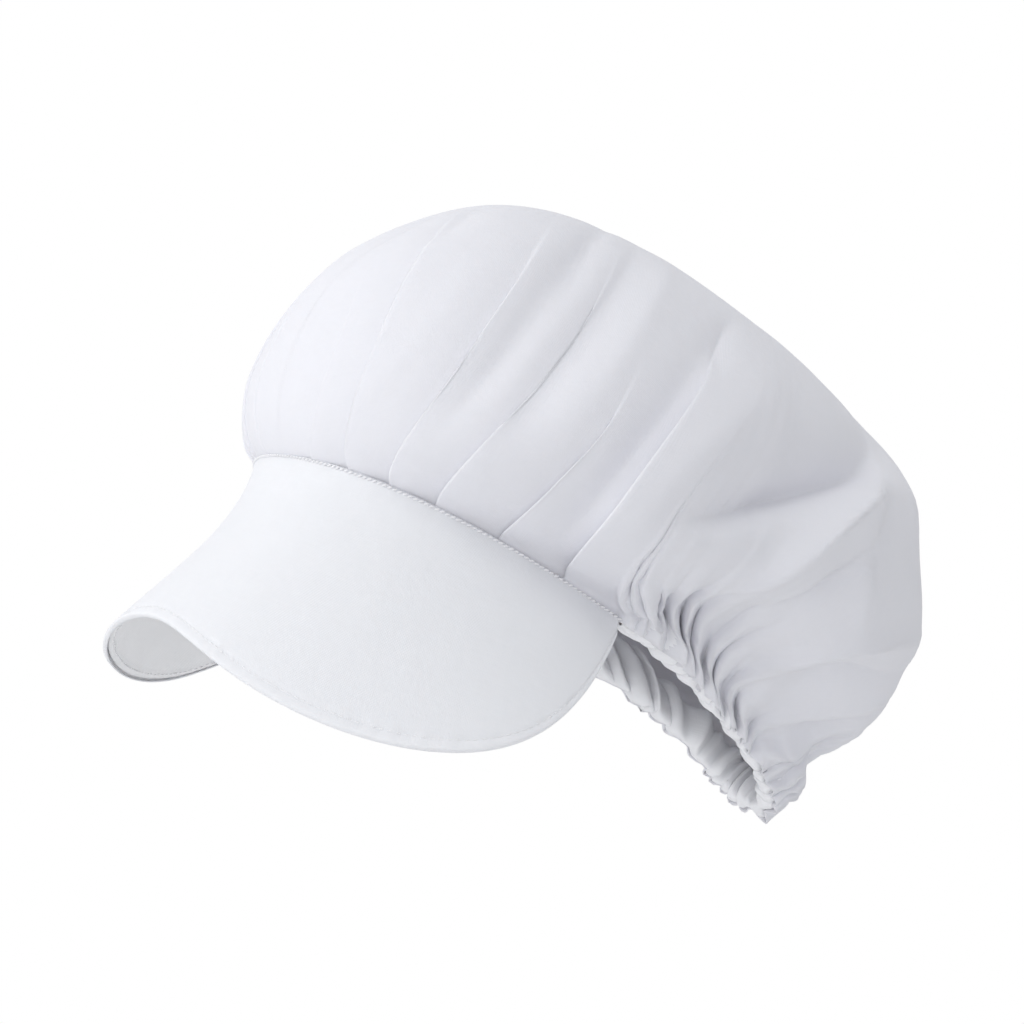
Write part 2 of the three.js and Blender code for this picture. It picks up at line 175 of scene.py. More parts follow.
# Long soft folds of the cloth, and hollows where the height is below zero
SOFT_FOLDS = [
    # foot, middle, top, from, to, height, in front, behind, roundness
    (0, 0, 0, 0.25, 1.10, -1.6, 40, 40, 10),
    (24, 25, 23, 0.70, 1.0, -1.6, 4, 6, 3),
    (30, 38, 42, 0.20, 0.80, 0.8, 5, 5, 3),
    (55, 59, 70, 0.20, 1.0, -4.8, 5, 8, 3),
    (64, 66, 76, 0.62, 1.02, -2.8, 2.5, 3, 1.0),
    (74, 75, 88, 0.24, 0.98, -5.6, 4, 7, 2),
    (86, 89, 100, 0.40, 0.98, 2.2, 6, 6, 3),
    (108, 104, 118, 0.02, 0.86, -5.6, 9, 4, 3),
    (118, 116, 124, 0.62, 0.84, -3.2, 3, 4, 1.2),
    (122, 120, 150, 0.12, 0.80, 4.0, 9, 12, 6),
    (114, 181, 246, 0.27, 1.0, -16.0, 16, 8, 3),
    (165, 185, 240, 0.14, 0.98, 10.0, 5, 11, 0.9),
    (188, 194, 206, 0.14, 0.75, -8.0, 6, 9, 2.0),
    (190, 188, 186, 0.20, 0.50, 2.5, 5, 6, 2.0),
    (212, 200, 186, 0.36, 0.72, 4.0, 7, 8, 3.0),
    (234, 210, 258, 0.08, 0.64, 8.0, 6, 9, 1.0),
    (246, 228, 268, 0.12, 0.60, -8.5, 9, 11, 3.5),
    (258, 247, 262, 0.12, 0.56, 4.2, 9, 9, 4.0),
    (250, 248, 240, 0.34, 0.80, 3.4, 25, 22, 10),
    (215, 225, 240, 0.62, 1.0, 4.5, 14, 14, 6),
    (268, 262, 268, 0.12, 0.50, -3.5, 7, 7, 2.0),
    (278, 274, 278, 0.10, 0.45, 3.0, 6, 6, 1.5),
    (292, 288, 286, 0.15, 0.42, -9.0, 20, 20, 8),
]
FOLD_SWELLS_OVER = 0.35
FOLD_FADES_OVER = 0.5

# Ruffles that the elastic makes: places along the rim of the creases between them, from seam end to nape
RUFFLE_CREASES = [
    138, 149, 157, 174, 184, 203, 214, 230, 238, 250,
    257, 266, 272, 280, 285, 292, 297, 304, 311,
]
RUFFLE_HEIGHT = 2.2
RUFFLE_HEIGHT_PER_WIDTH = 0.36
RUFFLE_SHARPNESS = 1.25
RUFFLE_RIDGE_SHARE = 0.7
RUFFLE_ROUNDNESS = 0.16
RUFFLE_RUN = 9.0
RUFFLE_RUN_PER_WIDTH = 0.9
RUFFLE_LEAN = 0.16
RUFFLE_SINK = 0.4
RUFFLE_SINK_RUN = 8
RUFFLE_OVERHANG = 0.13
RUFFLE_SWING = 0.09
RUFFLE_SCALLOP = 0.11
RUFFLE_HANG_CLIMB = 0.04
RUFFLE_KINK = 2.6
RUFFLE_KINK_RUN = 14
RUFFLE_KINK_ENDS_OVER = 12
RUFFLES_START_BEFORE = 3
RUFFLES_GROW_OVER = 9
FAR_RUFFLE_SHIFT = 3.5
FAR_RUFFLE_TURN = 9 * np.pi
UNEVENNESS = {
    # what varies: by how much, turn from ruffle to ruffle, turn between the sides
    "lean": (0.14, 2.4, 1.1),
    "height": (0.25, 3.7, 1.0),
    "run": (0.4, 5.3, 1.0),
}

# Crumple of the ruffles and the crown, and small waves and puckers of the peak
CRUMPLE_HEIGHT = 1.7
CRUMPLE_RUN = 12
CRUMPLE_FULL_WIDTH = 10
CRUMPLE_CELLS_PER_RUFFLE = 3.1
FINE_CRUMPLE_RUN = 0.25
FINE_CRUMPLE_EDGE_POWER = 0.5
CLOTH_NOISE = {
    # what it moves: height, cell width, cell length, shift of the far side and start in cells, seed
    "crown, small": (0.3, 4.5, 1 / 10, 400 / 4.5, 0, 21),
    "crown, broad": (0.6, 17, 1 / 7, 400 / 17, 0, 22),
    "seam pucker": (0.22, 3.2, 14, 30, 2.5, 31),
    "peak wave": (0.5, 1 / 6, 1 / 3, 0, 4, 33),
    "edge pucker": (0.3, 2.2, 9, 30, 8.5, 35),
    "ruffle, broad": (1.0, 1, 11, 100, 7, 41),
    "ruffle, small": (0.5, 1 / 2.3, 6, 230, 3, 42),
    "ruffle kink": (1.0, 13, 8, 50, 5, 43),
}
PEAK_WAVE_START = 20 / 6

# Elastic casing, the line of stitches that pinches it off from the crown, and the elastic in it
CASING_WIDTH = 14
CASING_CORE = 1.5
CASING_CORE_RUN = 10
CASING_LEAST = 0.5
CASING_UNDER = 1.6
CASING_ROUND_ACROSS = 0.6
CASING_ROUND_OUT = 0.45
CASING_INNER_SHIFT = 0.4
CASING_INNER_PINCH = 0.5
CASING_SETTLES_OVER = 8
CASING_CLOSES_OVER = 4
CASING_END_SHARE = 0.35
CASING_LEAST_CLIMB = 0.01
CASING_FROM_SEAM = 1.0
CASING_FULLNESS = 2.0
ELASTIC_FROM_SEAM = 2.0
ELASTIC_STATION = 1.5
ELASTIC_SPAN = (0.2, 0.75)
ELASTIC_LIFTS = (-0.65, -0.05)
PINCH_DEPTH = 0.35
PINCH_WIDTH = 1.6
PINCH_HOLDS = 0.22
PINCH_CLIMB_MOST = 0.4
PINCH_CLIMB_STEPS = 81

# Where the crown's pleats, folds and ruffles flatten, towards its midline and its front and back ends
FLAT_AT_TOP_OVER = 0.12
FOLDS_LEFT_AT_TOP = 0.45
STILL_AT_ENDS_OVER = 6

# Cloth thickness other than the crown's, and the fullness of the cloth's own coordinates
PEAK_CLOTH = 0.5
CASING_CLOTH = 0.4
CROWN_FULLNESS = 1.2
PEAK_FULLNESS = 1.25

# Mesh fineness
RIM_POINTS = 801
CROWN_COLUMNS = 320
CROWN_ROWS = 74
CROWN_ROW_EASE = 1.8
PLEAT_COLUMNS = 2.6
PLEAT_COLUMNS_WIDTH = 3.0
RUFFLE_COLUMNS = 0.5
NAPE_COLUMNS = 0.6
NAPE_COLUMNS_FROM = 255
COLUMN_SEARCH_STEPS = 4000
PEAK_COLUMNS = 150
PEAK_ROWS = 54
CASING_STATION = 0.55
CASING_SECTION = 28
SEAM_STITCH_POINTS = 400
EDGE_STITCH_POINTS = 500
NOISE_CELLS = 64

# Where a place counts as on the cap's midline, and how far the girth may stretch in the sums
MIDLINE_WITHIN = 0.5
MIDLINE_CLIMB = 0.999
STRETCH_LIMITS = (0.35, 2.0)

# Weave of the cloth and twist of the thread, for the materials: scales per metre and heights in metres
SLUB_SCALES = [(2400.0, 55.0, 1.0), (55.0, 2400.0, 1.0)]
CREASE_SCALE = 95.0
CREASE_RELIEF = 0.0009
THREAD_RELIEF = 0.00012
# Paler and deeper ends of the cloth's colour: the slubs' own tone, plus painted shade and light on the
# crease texture
PALER = 1.02
DEEPER = 0.965
SCATTER_RADIUS = (1.0, 0.9, 0.85)
TWIST_SCALE = 900.0
TWIST_RELIEF = 0.00008

# Focal length and framing of the photo, in pixels of its 1024-pixel frame
IMAGE_SIZE = 1024
FOCAL_PIXELS = 3115
ORIGIN_PIXEL = (531.14, 450.26)
SENSOR_WIDTH = 36.0

# Soft lights, each a metre across: metres towards the camera, to the right and up
LIGHT_SIZE = 1.0
LIGHTS = {
    # light: towards the camera, right, up
    "side": (0.3, -1.5, 0.4),
    "top": (0.55, -0.45, 1.4),
    "back": (-0.6, 0.2, 1.3),
    "front": (1.5, -0.2, -0.1),
}
FLOOR_SIZE = 40
FLOOR_GREY = (0.86, 0.86, 0.86, 1.0)
WHITE = (1.0, 1.0, 1.0, 1.0)
ROOM_WHITE = (0.97, 0.98, 1.0, 1.0)


def bezier(shaping_points, t):
    """Points on a Bezier curve: neighbouring shaping points are mixed until one is left."""
    t = np.asarray(t, float)[..., None]
    points = [np.asarray(p, float) for p in shaping_points]
    while len(points) > 1:
        points = [a + (b - a) * t for a, b in zip(points, points[1:])]
    return points[0]


def run_of(points):
    """Distance travelled along a line of points."""
    steps = np.linalg.norm(np.diff(points, axis=0), axis=-1)
    return np.concatenate([[0.0], np.cumsum(steps)])


def smoothstep(x):
    """Eases from 0 to 1 as x passes from 0 to 1."""
    x = np.clip(x, 0.0, 1.0)
    return x * x * (3.0 - 2.0 * x)


def smooth_noise(x, y, seed):
    """Value noise from -1 to 1 with cells of size 1, from seeded random numbers."""
    table = np.random.default_rng(seed).uniform(-1.0, 1.0, (NOISE_CELLS, NOISE_CELLS))
    x, y = np.broadcast_arrays(np.asarray(x, float), np.asarray(y, float))
    column = np.floor(x).astype(int)
    row = np.floor(y).astype(int)
    across = smoothstep(x - column)
    up = smoothstep(y - row)

    def corner(i, j):
        return table[(column + i) % NOISE_CELLS, (row + j) % NOISE_CELLS]

    low = corner(0, 0) + (corner(1, 0) - corner(0, 0)) * across
    high = corner(0, 1) + (corner(1, 1) - corner(0, 1)) * across
    return low + (high - low) * up


def cloth_noise(kind, across, up, far):
    """One kind of noise for places across and up the cloth. The far side has its own."""
    height, cell_width, cell_length, far_shift, start, seed = CLOTH_NOISE[kind]
    return height * smooth_noise(across / cell_width + far_shift * far, up / cell_length + start, seed)


def seam_points(t):
    """Half of the seam, from the front centre to its end, for t from 0 to 1."""
    angle = t * SEAM_TURN
    power = 2.0 / SEAM_ROUNDNESS
    x = SEAM_HALF_WIDTH * np.sin(angle) ** power
    y = -SEAM_HALF_DEPTH * np.cos(angle) ** power
    return np.stack([x, y, -SEAM_DROP * t * t], -1)


# Half of the rim as a fine line, and the distance along it
HALF_STEPS = np.linspace(0.0, 1.0, RIM_POINTS)
SEAM_LINE = seam_points(HALF_STEPS)
SEAM_END = SEAM_LINE[-1]
HEM_LINE = bezier([SEAM_END, SEAM_END + HEM_LEAVE, NAPE + HEM_NAPE_HALF_TURN, NAPE], HALF_STEPS)
RIM_LINE = np.concatenate([SEAM_LINE, HEM_LINE[1:]])
RIM_LINE_RUN = run_of(RIM_LINE)
SEAM_LENGTH = run_of(SEAM_LINE)[-1]
RIM_LENGTH = RIM_LINE_RUN[-1]
HEM_LENGTH = RIM_LENGTH - SEAM_LENGTH

# The sloping plane that the rim lies in
RIM_SLOPE = math.atan2(-NAPE[2], NAPE[1] + SEAM_HALF_DEPTH)
RIM_MIDDLE = np.array([0.0, (NAPE[1] - SEAM_HALF_DEPTH) / 2, NAPE[2] / 2])
RIM_HALF_LENGTH = math.hypot(NAPE[2], NAPE[1] + SEAM_HALF_DEPTH) / 2
BACKWARD = np.array([0.0, math.cos(RIM_SLOPE), -math.sin(RIM_SLOPE)])
ACROSS = np.array([1.0, 0.0, 0.0])
UPWARD = np.array([0.0, math.sin(RIM_SLOPE), math.cos(RIM_SLOPE)])


def rim_point(along):
    """Point of the rim at a distance from the front centre."""
    return np.stack([np.interp(along, RIM_LINE_RUN, RIM_LINE[:, k]) for k in range(3)], -1)


def outward_at(start):
    """Direction away from the head, in the plane of the rim."""
    from_middle = start - RIM_MIDDLE
    outward = (from_middle @ BACKWARD)[..., None] / RIM_HALF_LENGTH * BACKWARD
    outward = outward + from_middle[..., :1] / SEAM_HALF_WIDTH * ACROSS
    return outward / np.linalg.norm(outward, axis=-1, keepdims=True)


def around(front_side_back, cosine):
    """Value that passes smoothly from front to side to back, for a cosine of 1 at the front."""
    front, side, back = front_side_back
    value = side + (front - back) / 2 * cosine + ((front + back) / 2 - side) * cosine ** 2
    return value[..., None]


def crown_form(along, climb):
    """The crown's form, with the bend where seam and hem meet smoothed out above the rim."""
    along, climb = np.broadcast_arrays(np.asarray(along, float), np.asarray(climb, float))
    beside = np.exp(-((along - SEAM_LENGTH) / BEND_WIDTH) ** 2)
    spread = BEND_SMOOTHING * smoothstep((climb - BEND_STARTS) / BEND_GROWS_OVER) * beside
    points = [weight * bent_form(along + offset * spread, climb) for offset, weight in BEND_WEIGHTS]
    return sum(points)


def bent_form(along, climb):
    """The crown's form with its bend: points for places along the rim and climbs from 0 to 1."""
    share = np.clip(along / RIM_LENGTH, 0.0, 1.0)
    start = rim_point(along)
    outward = outward_at(start)
    cosine = -(outward @ BACKWARD)

    def level(reach, height):
        return RIM_MIDDLE + outward * around(reach, cosine) + UPWARD * around(height, cosine)

    ridge_place = share + RIDGE_LEAN * share * (1 - share)
    top = bezier(RIDGE_SHAPE, ridge_place)
    ridge_way = bezier(3 * np.diff(RIDGE_SHAPE, axis=0), ridge_place)
    ridge_way = ridge_way / np.linalg.norm(ridge_way, axis=-1, keepdims=True)
    beside = RIDGE_HALF_WIDTH * np.maximum(0.0, np.sin(np.pi * share)) ** RIDGE_WIDTH_POWER
    line = [
        start,
        start + outward * around(RIM_OUT, cosine) + UPWARD * around(RIM_UP, cosine),
        level(BULGE_REACH, BULGE_HEIGHT),
        level(SHOULDER_REACH, SHOULDER_HEIGHT),
        top + ACROSS * beside[..., None] + ridge_way * around(RIDGE_RUN, cosine),
        top,
    ]
    at_hem = smoothstep((along - SEAM_LENGTH + STAND_CHANGES_BEFORE) / STAND_CHANGES_OVER)
    most, place = (at_seam + (hem - at_seam) * at_hem for at_seam, hem in (STAND_HEIGHT, STAND_CLIMB))
    stand = most * (1 - cosine ** 2) * climb / place * np.exp(1 - climb / place)
    return bezier(line, climb) + stand[..., None] * (STAND_WAY[0] * UPWARD + STAND_WAY[1] * outward)


def form_normal(along, climb):
    """Outward direction of the smooth form, level with the midline where it meets it."""
    nudge_along = 0.6
    nudge_climb = 0.004
    ahead = crown_form(np.clip(along - nudge_along, 0, RIM_LENGTH), climb)
    behind = crown_form(np.clip(along + nudge_along, 0, RIM_LENGTH), climb)
    low = crown_form(along, np.clip(climb - nudge_climb, 0, 1))
    high = crown_form(along, np.clip(climb + nudge_climb, 0, 1))
    normal = np.cross(behind - ahead, high - low)
    at_an_end = (along < MIDLINE_WITHIN) | (along > RIM_LENGTH - MIDLINE_WITHIN)
    normal[..., 0] = np.where(at_an_end | (climb > MIDLINE_CLIMB), 0.0, normal[..., 0])
    length = np.linalg.norm(normal, axis=-1, keepdims=True)
    return normal / np.maximum(length, 1e-9)


def girth_stretch(along, climb):
    """How much longer the cloth's girth is at a climb than at the rim."""
    nudge = 1.0
    low = np.clip(along - nudge, 0, RIM_LENGTH)
    high = np.clip(along + nudge, 0, RIM_LENGTH)
    width = np.linalg.norm(crown_form(high, climb) - crown_form(low, climb), axis=-1)
    return np.clip(width / (high - low), *STRETCH_LIMITS)


def fold_place(foot, middle, top, share):
    """Place along the rim of a fold's crest, bending through its middle."""
    bend = 4 * share * (1 - share)
    return foot + (top - foot) * share + bend * (middle - (foot + top) / 2)


def cloth_place(column, climb):
    """Place along the rim of a column of cloth at a climb: columns follow the pleats and the drift."""
    column, climb = np.broadcast_arrays(np.asarray(column, float), np.asarray(climb, float))
    drift = DRIFT_MOST * np.tanh(climb / DRIFT_CLIMB)
    drift = drift * (1 - smoothstep((climb - DRIFT_FADES_FROM) / DRIFT_FADES_OVER))
    guides = [0.0] + [pleat[0] for pleat in PLEATS] + [place for place, _ in HEM_DRIFT] + [RIM_LENGTH]
    offsets = [np.zeros_like(climb)]
    for foot, middle, top, reaches, *_ in PLEATS:
        offsets.append(fold_place(foot, middle, top, np.clip(climb / reaches, 0, 1)) - foot)
    offsets += [most * drift for _, most in HEM_DRIFT] + [np.zeros_like(climb)]
    after = np.clip(np.searchsorted(guides, column), 1, len(guides) - 1)
    before = after - 1
    share = (column - np.take(guides, before)) / (np.take(guides, after) - np.take(guides, before))
    offsets = np.stack(offsets)
    before_offset = np.take_along_axis(offsets, before[None], axis=0)[0]
    after_offset = np.take_along_axis(offsets, after[None], axis=0)[0]
    return column + before_offset + (after_offset - before_offset) * share


def pleat_shift(along, climb, stretch, side):
    """How far the pleats lift the cloth and draw it sideways."""
    lift = np.zeros_like(climb)
    draw = np.zeros_like(climb)
    for number, (foot, middle, top, reaches, depth, overlap, front, behind) in enumerate(PLEATS):
        if side < 0 and number < FLATTER_FAR_PLEATS:
            depth *= FLATTER_SHARE
            overlap *= FLATTER_SHARE
        share = np.clip(climb / reaches, 0, 1)
        off_crease = (along - fold_place(foot, middle, top, share)) * stretch
        fade = smoothstep((1 - share) / PLEAT_FADES_OVER)
        opening = np.minimum(1.0, PLEAT_FLAT_AT_SEAM + climb / PLEAT_OPENS_BY)
        step = off_crease / np.hypot(off_crease, PLEAT_CREASE)
        reach = np.where(off_crease > 0, behind, front)
        lift += 0.5 * depth * opening * fade * step * np.exp(-np.abs(off_crease) / reach)
        turn = off_crease / PLEAT_FOLD_WIDTH
        draw -= 2 * overlap * fade ** PLEAT_OVERLAP_FADE * turn * np.exp(-turn * turn)
    return lift, draw / stretch


def soft_lift(along, climb, stretch):
    """How far the long soft folds and hollows lift the cloth."""
    lift = np.zeros_like(climb)
    for foot, middle, top, low, high, height, front, behind, roundness in SOFT_FOLDS:
        share = np.clip((climb - low) / (high - low), 0, 1)
        off_crest = (along - fold_place(foot, middle, top, share)) * stretch
        swell = smoothstep(share / FOLD_SWELLS_OVER) * smoothstep((1 - share) / FOLD_FADES_OVER)
        reach = np.where(off_crest > 0, behind, front)
        lift += height * swell * np.exp(-(np.hypot(off_crest, roundness) - roundness) / reach)
    return lift


class Ruffles:
    """Ruffles along one side's hem, for columns of cloth."""

    def __init__(self, column, side):
        self.column = np.asarray(column, float)
        self.side = side
        self.far = side < 0
        behind_seam = np.clip((self.column - SEAM_LENGTH) / HEM_LENGTH, 0, 1)
        self.shifted = self.column + FAR_RUFFLE_SHIFT * np.sin(FAR_RUFFLE_TURN * behind_seam) * self.far
        creases = np.array(RUFFLE_CREASES, float)
        middles = (creases[1:] + creases[:-1]) / 2
        self.number = np.interp(self.shifted, creases, np.arange(len(creases)))
        self.width = np.interp(self.shifted, middles, np.diff(creases))
        share = self.number - np.floor(self.number)
        lean = RUFFLE_LEAN + self.uneven("lean")
        share = np.clip(share + lean * np.sin(np.pi * share), 0, 1)
        ridge = 1 - np.hypot(2 * share - 1, RUFFLE_ROUNDNESS) + RUFFLE_ROUNDNESS
        swell = np.sin(np.pi * share) ** 2
        self.crest = RUFFLE_RIDGE_SHARE * np.clip(ridge, 0, 1) ** RUFFLE_SHARPNESS
        self.crest = self.crest + (1 - RUFFLE_RIDGE_SHARE) * swell
        self.turn = np.sin(2 * np.pi * share)
        self.height = RUFFLE_HEIGHT + RUFFLE_HEIGHT_PER_WIDTH * self.width
        self.height = self.height * (1 + self.uneven("height"))
        self.run = RUFFLE_RUN + RUFFLE_RUN_PER_WIDTH * self.width
        self.run = self.run * (1 + self.uneven("run"))
        self.present = smoothstep((self.column - SEAM_LENGTH + RUFFLES_START_BEFORE) / RUFFLES_GROW_OVER)

    def uneven(self, kind):
        """How one measure varies from ruffle to ruffle."""
        most, turn, side_turn = UNEVENNESS[kind]
        return most * np.sin(turn * np.floor(self.number) + side_turn * self.side)

    def outer_lift(self, above):
        """Height of the cloth outside the elastic, at a distance above the pinching stitches."""
        over = np.maximum(above, 0)
        pinch = np.exp(-(above / PINCH_WIDTH) ** 2)
        height = self.height * np.exp(-over / self.run) * (1 - PINCH_HOLDS * pinch)
        level = self.crest - RUFFLE_SINK * (1 - np.exp(-over / RUFFLE_SINK_RUN))
        core = CASING_CORE * np.exp(-over / CASING_CORE_RUN) - PINCH_DEPTH * pinch
        across = self.number * CRUMPLE_CELLS_PER_RUFFLE
        crumple = cloth_noise("ruffle, broad", across, above, self.far)
        crumple = crumple + cloth_noise("ruffle, small", across, above, self.far)
        crumple = crumple * np.exp(-over / CRUMPLE_RUN) * np.minimum(1, self.width / CRUMPLE_FULL_WIDTH)
        return (height * level + core + CRUMPLE_HEIGHT * crumple) * self.present

    def draw(self, above):
        """How far the ruffles' flanks are drawn in under their crests, along the hem."""
        over = np.maximum(above, 0)
        overhang = RUFFLE_OVERHANG * self.crest + RUFFLE_SWING * self.turn
        kink = RUFFLE_KINK * cloth_noise("ruffle kink", self.shifted, above, self.far)
        kink = kink * np.exp(-over / RUFFLE_KINK_RUN)
        kink = kink * smoothstep((RIM_LENGTH - self.column) / RUFFLE_KINK_ENDS_OVER)
        return (kink - overhang * self.width * np.exp(-over / self.run)) * self.present

    def scallop(self, share):
        """How far the crests hang below the rim, for shares of the way up to the pinching stitches."""
        downward = crown_form(self.column, 0.0) - crown_form(self.column, RUFFLE_HANG_CLIMB)
        downward /= np.linalg.norm(downward, axis=-1, keepdims=True)
        hang = RUFFLE_SCALLOP * self.width * self.crest * (1 - share) ** 2 * self.present
        return downward * hang[..., None]


def fine_crumple(along, climb, far):
    """Small irregular wrinkles, longer up the cloth than across it."""
    small = cloth_noise("crown, small", along, climb, far) * np.exp(-climb / FINE_CRUMPLE_RUN)
    broad = cloth_noise("crown, broad", along, climb, far)
    off_ends = np.sin(np.pi * np.clip(along / RIM_LENGTH, 0, 1)) ** FINE_CRUMPLE_EDGE_POWER
    off_edges = np.sin(np.pi * np.clip(climb, 0, 1)) ** FINE_CRUMPLE_EDGE_POWER
    return (small + broad) * off_ends * off_edges


def crown_climbs():
    """Climbs of the crown's rows, closer together near the hem."""
    rows = np.linspace(0, 1, CROWN_ROWS + 1)
    return (rows + rows ** CROWN_ROW_EASE) / 2


def pinch_climb(column):
    """Climb of the stitches that close the casing, a casing's width up from each column's foot."""
    climbs = np.linspace(0, PINCH_CLIMB_MOST, PINCH_CLIMB_STEPS)
    points = crown_form(column[:, None], climbs[None, :])
    runs = [np.interp(CASING_WIDTH, run_of(line), climbs) for line in points]
    return np.array(runs)


def above_pinch(climb, pinch):
    """Distance above the pinching stitches, in millimetres."""
    return (climb / pinch - 1) * CASING_WIDTH


def crown_columns():
    """Columns of the crown's cloth, closer together at the pleats' creases and over the ruffles."""
    fine = np.linspace(0, RIM_LENGTH, COLUMN_SEARCH_STEPS)
    density = np.ones_like(fine)
    for foot, *_ in PLEATS:
        density += PLEAT_COLUMNS * np.exp(-((fine - foot) / PLEAT_COLUMNS_WIDTH) ** 2)
    density += RUFFLE_COLUMNS * (fine > SEAM_LENGTH) + NAPE_COLUMNS * (fine > NAPE_COLUMNS_FROM)
    total = np.cumsum(density)
    return np.interp(np.linspace(total[0], total[-1], CROWN_COLUMNS + 1), total, fine)


def crown_half(side):
    """Grid of points of one half of the crown, and its cloth coordinates."""
    column = crown_columns()
    pinch = pinch_climb(column)
    climb = np.broadcast_to(crown_climbs(), (len(column), CROWN_ROWS + 1))
    along = cloth_place(column[:, None], climb)
    stretch = girth_stretch(along, climb)
    ruffles = Ruffles(column[:, None], side)
    above = above_pinch(climb, pinch[:, None])
    pleat_lift, pleat_draw = pleat_shift(along, climb, stretch, side)
    near_top = smoothstep((1 - climb) / FLAT_AT_TOP_OVER)
    from_ends = np.minimum(along, RIM_LENGTH - along)
    near_ends = smoothstep(from_ends / STILL_AT_ENDS_OVER)
    lift = pleat_lift + soft_lift(along, climb, stretch)
    lift = lift * (FOLDS_LEFT_AT_TOP + (1 - FOLDS_LEFT_AT_TOP) * near_top)
    lift = lift + (ruffles.outer_lift(above) + fine_crumple(along, climb, side < 0)) * near_top
    draw = (pleat_draw + ruffles.draw(above)) * near_ends * near_top
    moved = np.clip(along + draw, 0, RIM_LENGTH)
    points = crown_form(moved, climb) + form_normal(moved, climb) * lift[..., None]
    points = points + ruffles.scallop(np.clip(climb / pinch[:, None], 0, 1))
    points[..., 0] *= side
    length = np.linalg.norm(np.diff(points, axis=1), axis=-1).sum(axis=1)
    cloth = np.stack([along * CROWN_FULLNESS, (1 - climb) * length[:, None] * side], -1)
    return points, cloth


def link(obj):
    """Puts an object in the scene's own collection."""
    bpy.context.scene.collection.objects.link(obj)


def mesh_object(name, points, faces, cloth=None):
    """Mesh object at the origin from points in millimetres. The cloth's coordinates are its UV map."""
    mesh = bpy.data.meshes.new(name)
    mesh.from_pydata((np.asarray(points) * MM).tolist(), [], [list(f) for f in faces])
    if cloth is not None:
        layer = mesh.uv_layers.new(name="Cloth")
        corner_vertex = np.zeros(len(mesh.loops), dtype=np.int32)
        mesh.loops.foreach_get("vertex_index", corner_vertex)
        layer.data.foreach_set("uv", (np.asarray(cloth)[corner_vertex] * MM).astype(np.float32).ravel())
    mesh.polygons.foreach_set("use_smooth", [True] * len(mesh.polygons))
    mesh.update()
    obj = bpy.data.objects.new(name, mesh)
    link(obj)
    return obj


def grid_faces(index, flip=False):
    """Four-cornered faces between the columns and rows of a grid of vertex numbers."""
    a = index[:-1, :-1].ravel()
    b = index[1:, :-1].ravel()
    c = index[1:, 1:].ravel()
    d = index[:-1, 1:].ravel()
    return np.stack([d, c, b, a] if flip else [a, b, c, d], -1)


def add_thickness(obj, thickness, offset=0.0):
    """Gives a sheet its cloth thickness and leaves a plain mesh."""
    modifier = obj.modifiers.new("Thickness", "SOLIDIFY")
    modifier.thickness = thickness * MM
    modifier.offset = offset
    modifier.use_even_offset = False
    apply_modifiers(obj)


def apply_modifiers(obj):
    """Turns an object's evaluated shape into its plain mesh."""
    graph = bpy.context.evaluated_depsgraph_get()
    mesh = bpy.data.meshes.new_from_object(obj.evaluated_get(graph), depsgraph=graph)
    old = obj.data
    obj.modifiers.clear()
    obj.data = mesh
    if old.users == 0:
        bpy.data.meshes.remove(old)
    obj.data.polygons.foreach_set("use_smooth", [True] * len(obj.data.polygons))


def build_crown():
    """Both halves of the crown's cloth in one sheet, joined along the cap's midline."""
    near, near_cloth = crown_half(1)
    far, far_cloth = crown_half(-1)
    columns, rows = near.shape[:2]
    near_index = np.arange(columns * rows).reshape(columns, rows)
    far_index = near_index + columns * rows
    far_index[0, :] = near_index[0, :]
    far_index[-1, :] = near_index[-1, :]
    far_index[:, -1] = near_index[:, -1]
    near[0, :, 0] = 0
    near[-1, :, 0] = 0
    near[:, -1, 0] = 0
    points = np.concatenate([near.reshape(-1, 3), far.reshape(-1, 3)])
    cloth = np.concatenate([near_cloth.reshape(-1, 2), far_cloth.reshape(-1, 2)])
    faces = np.concatenate([grid_faces(near_index), grid_faces(far_index, flip=True)])
    used = np.unique(faces)
    renumber = np.zeros(len(points), dtype=int)
    renumber[used] = np.arange(len(used))
    return mesh_object("crown_cloth", points[used], renumber[faces], cloth[used])


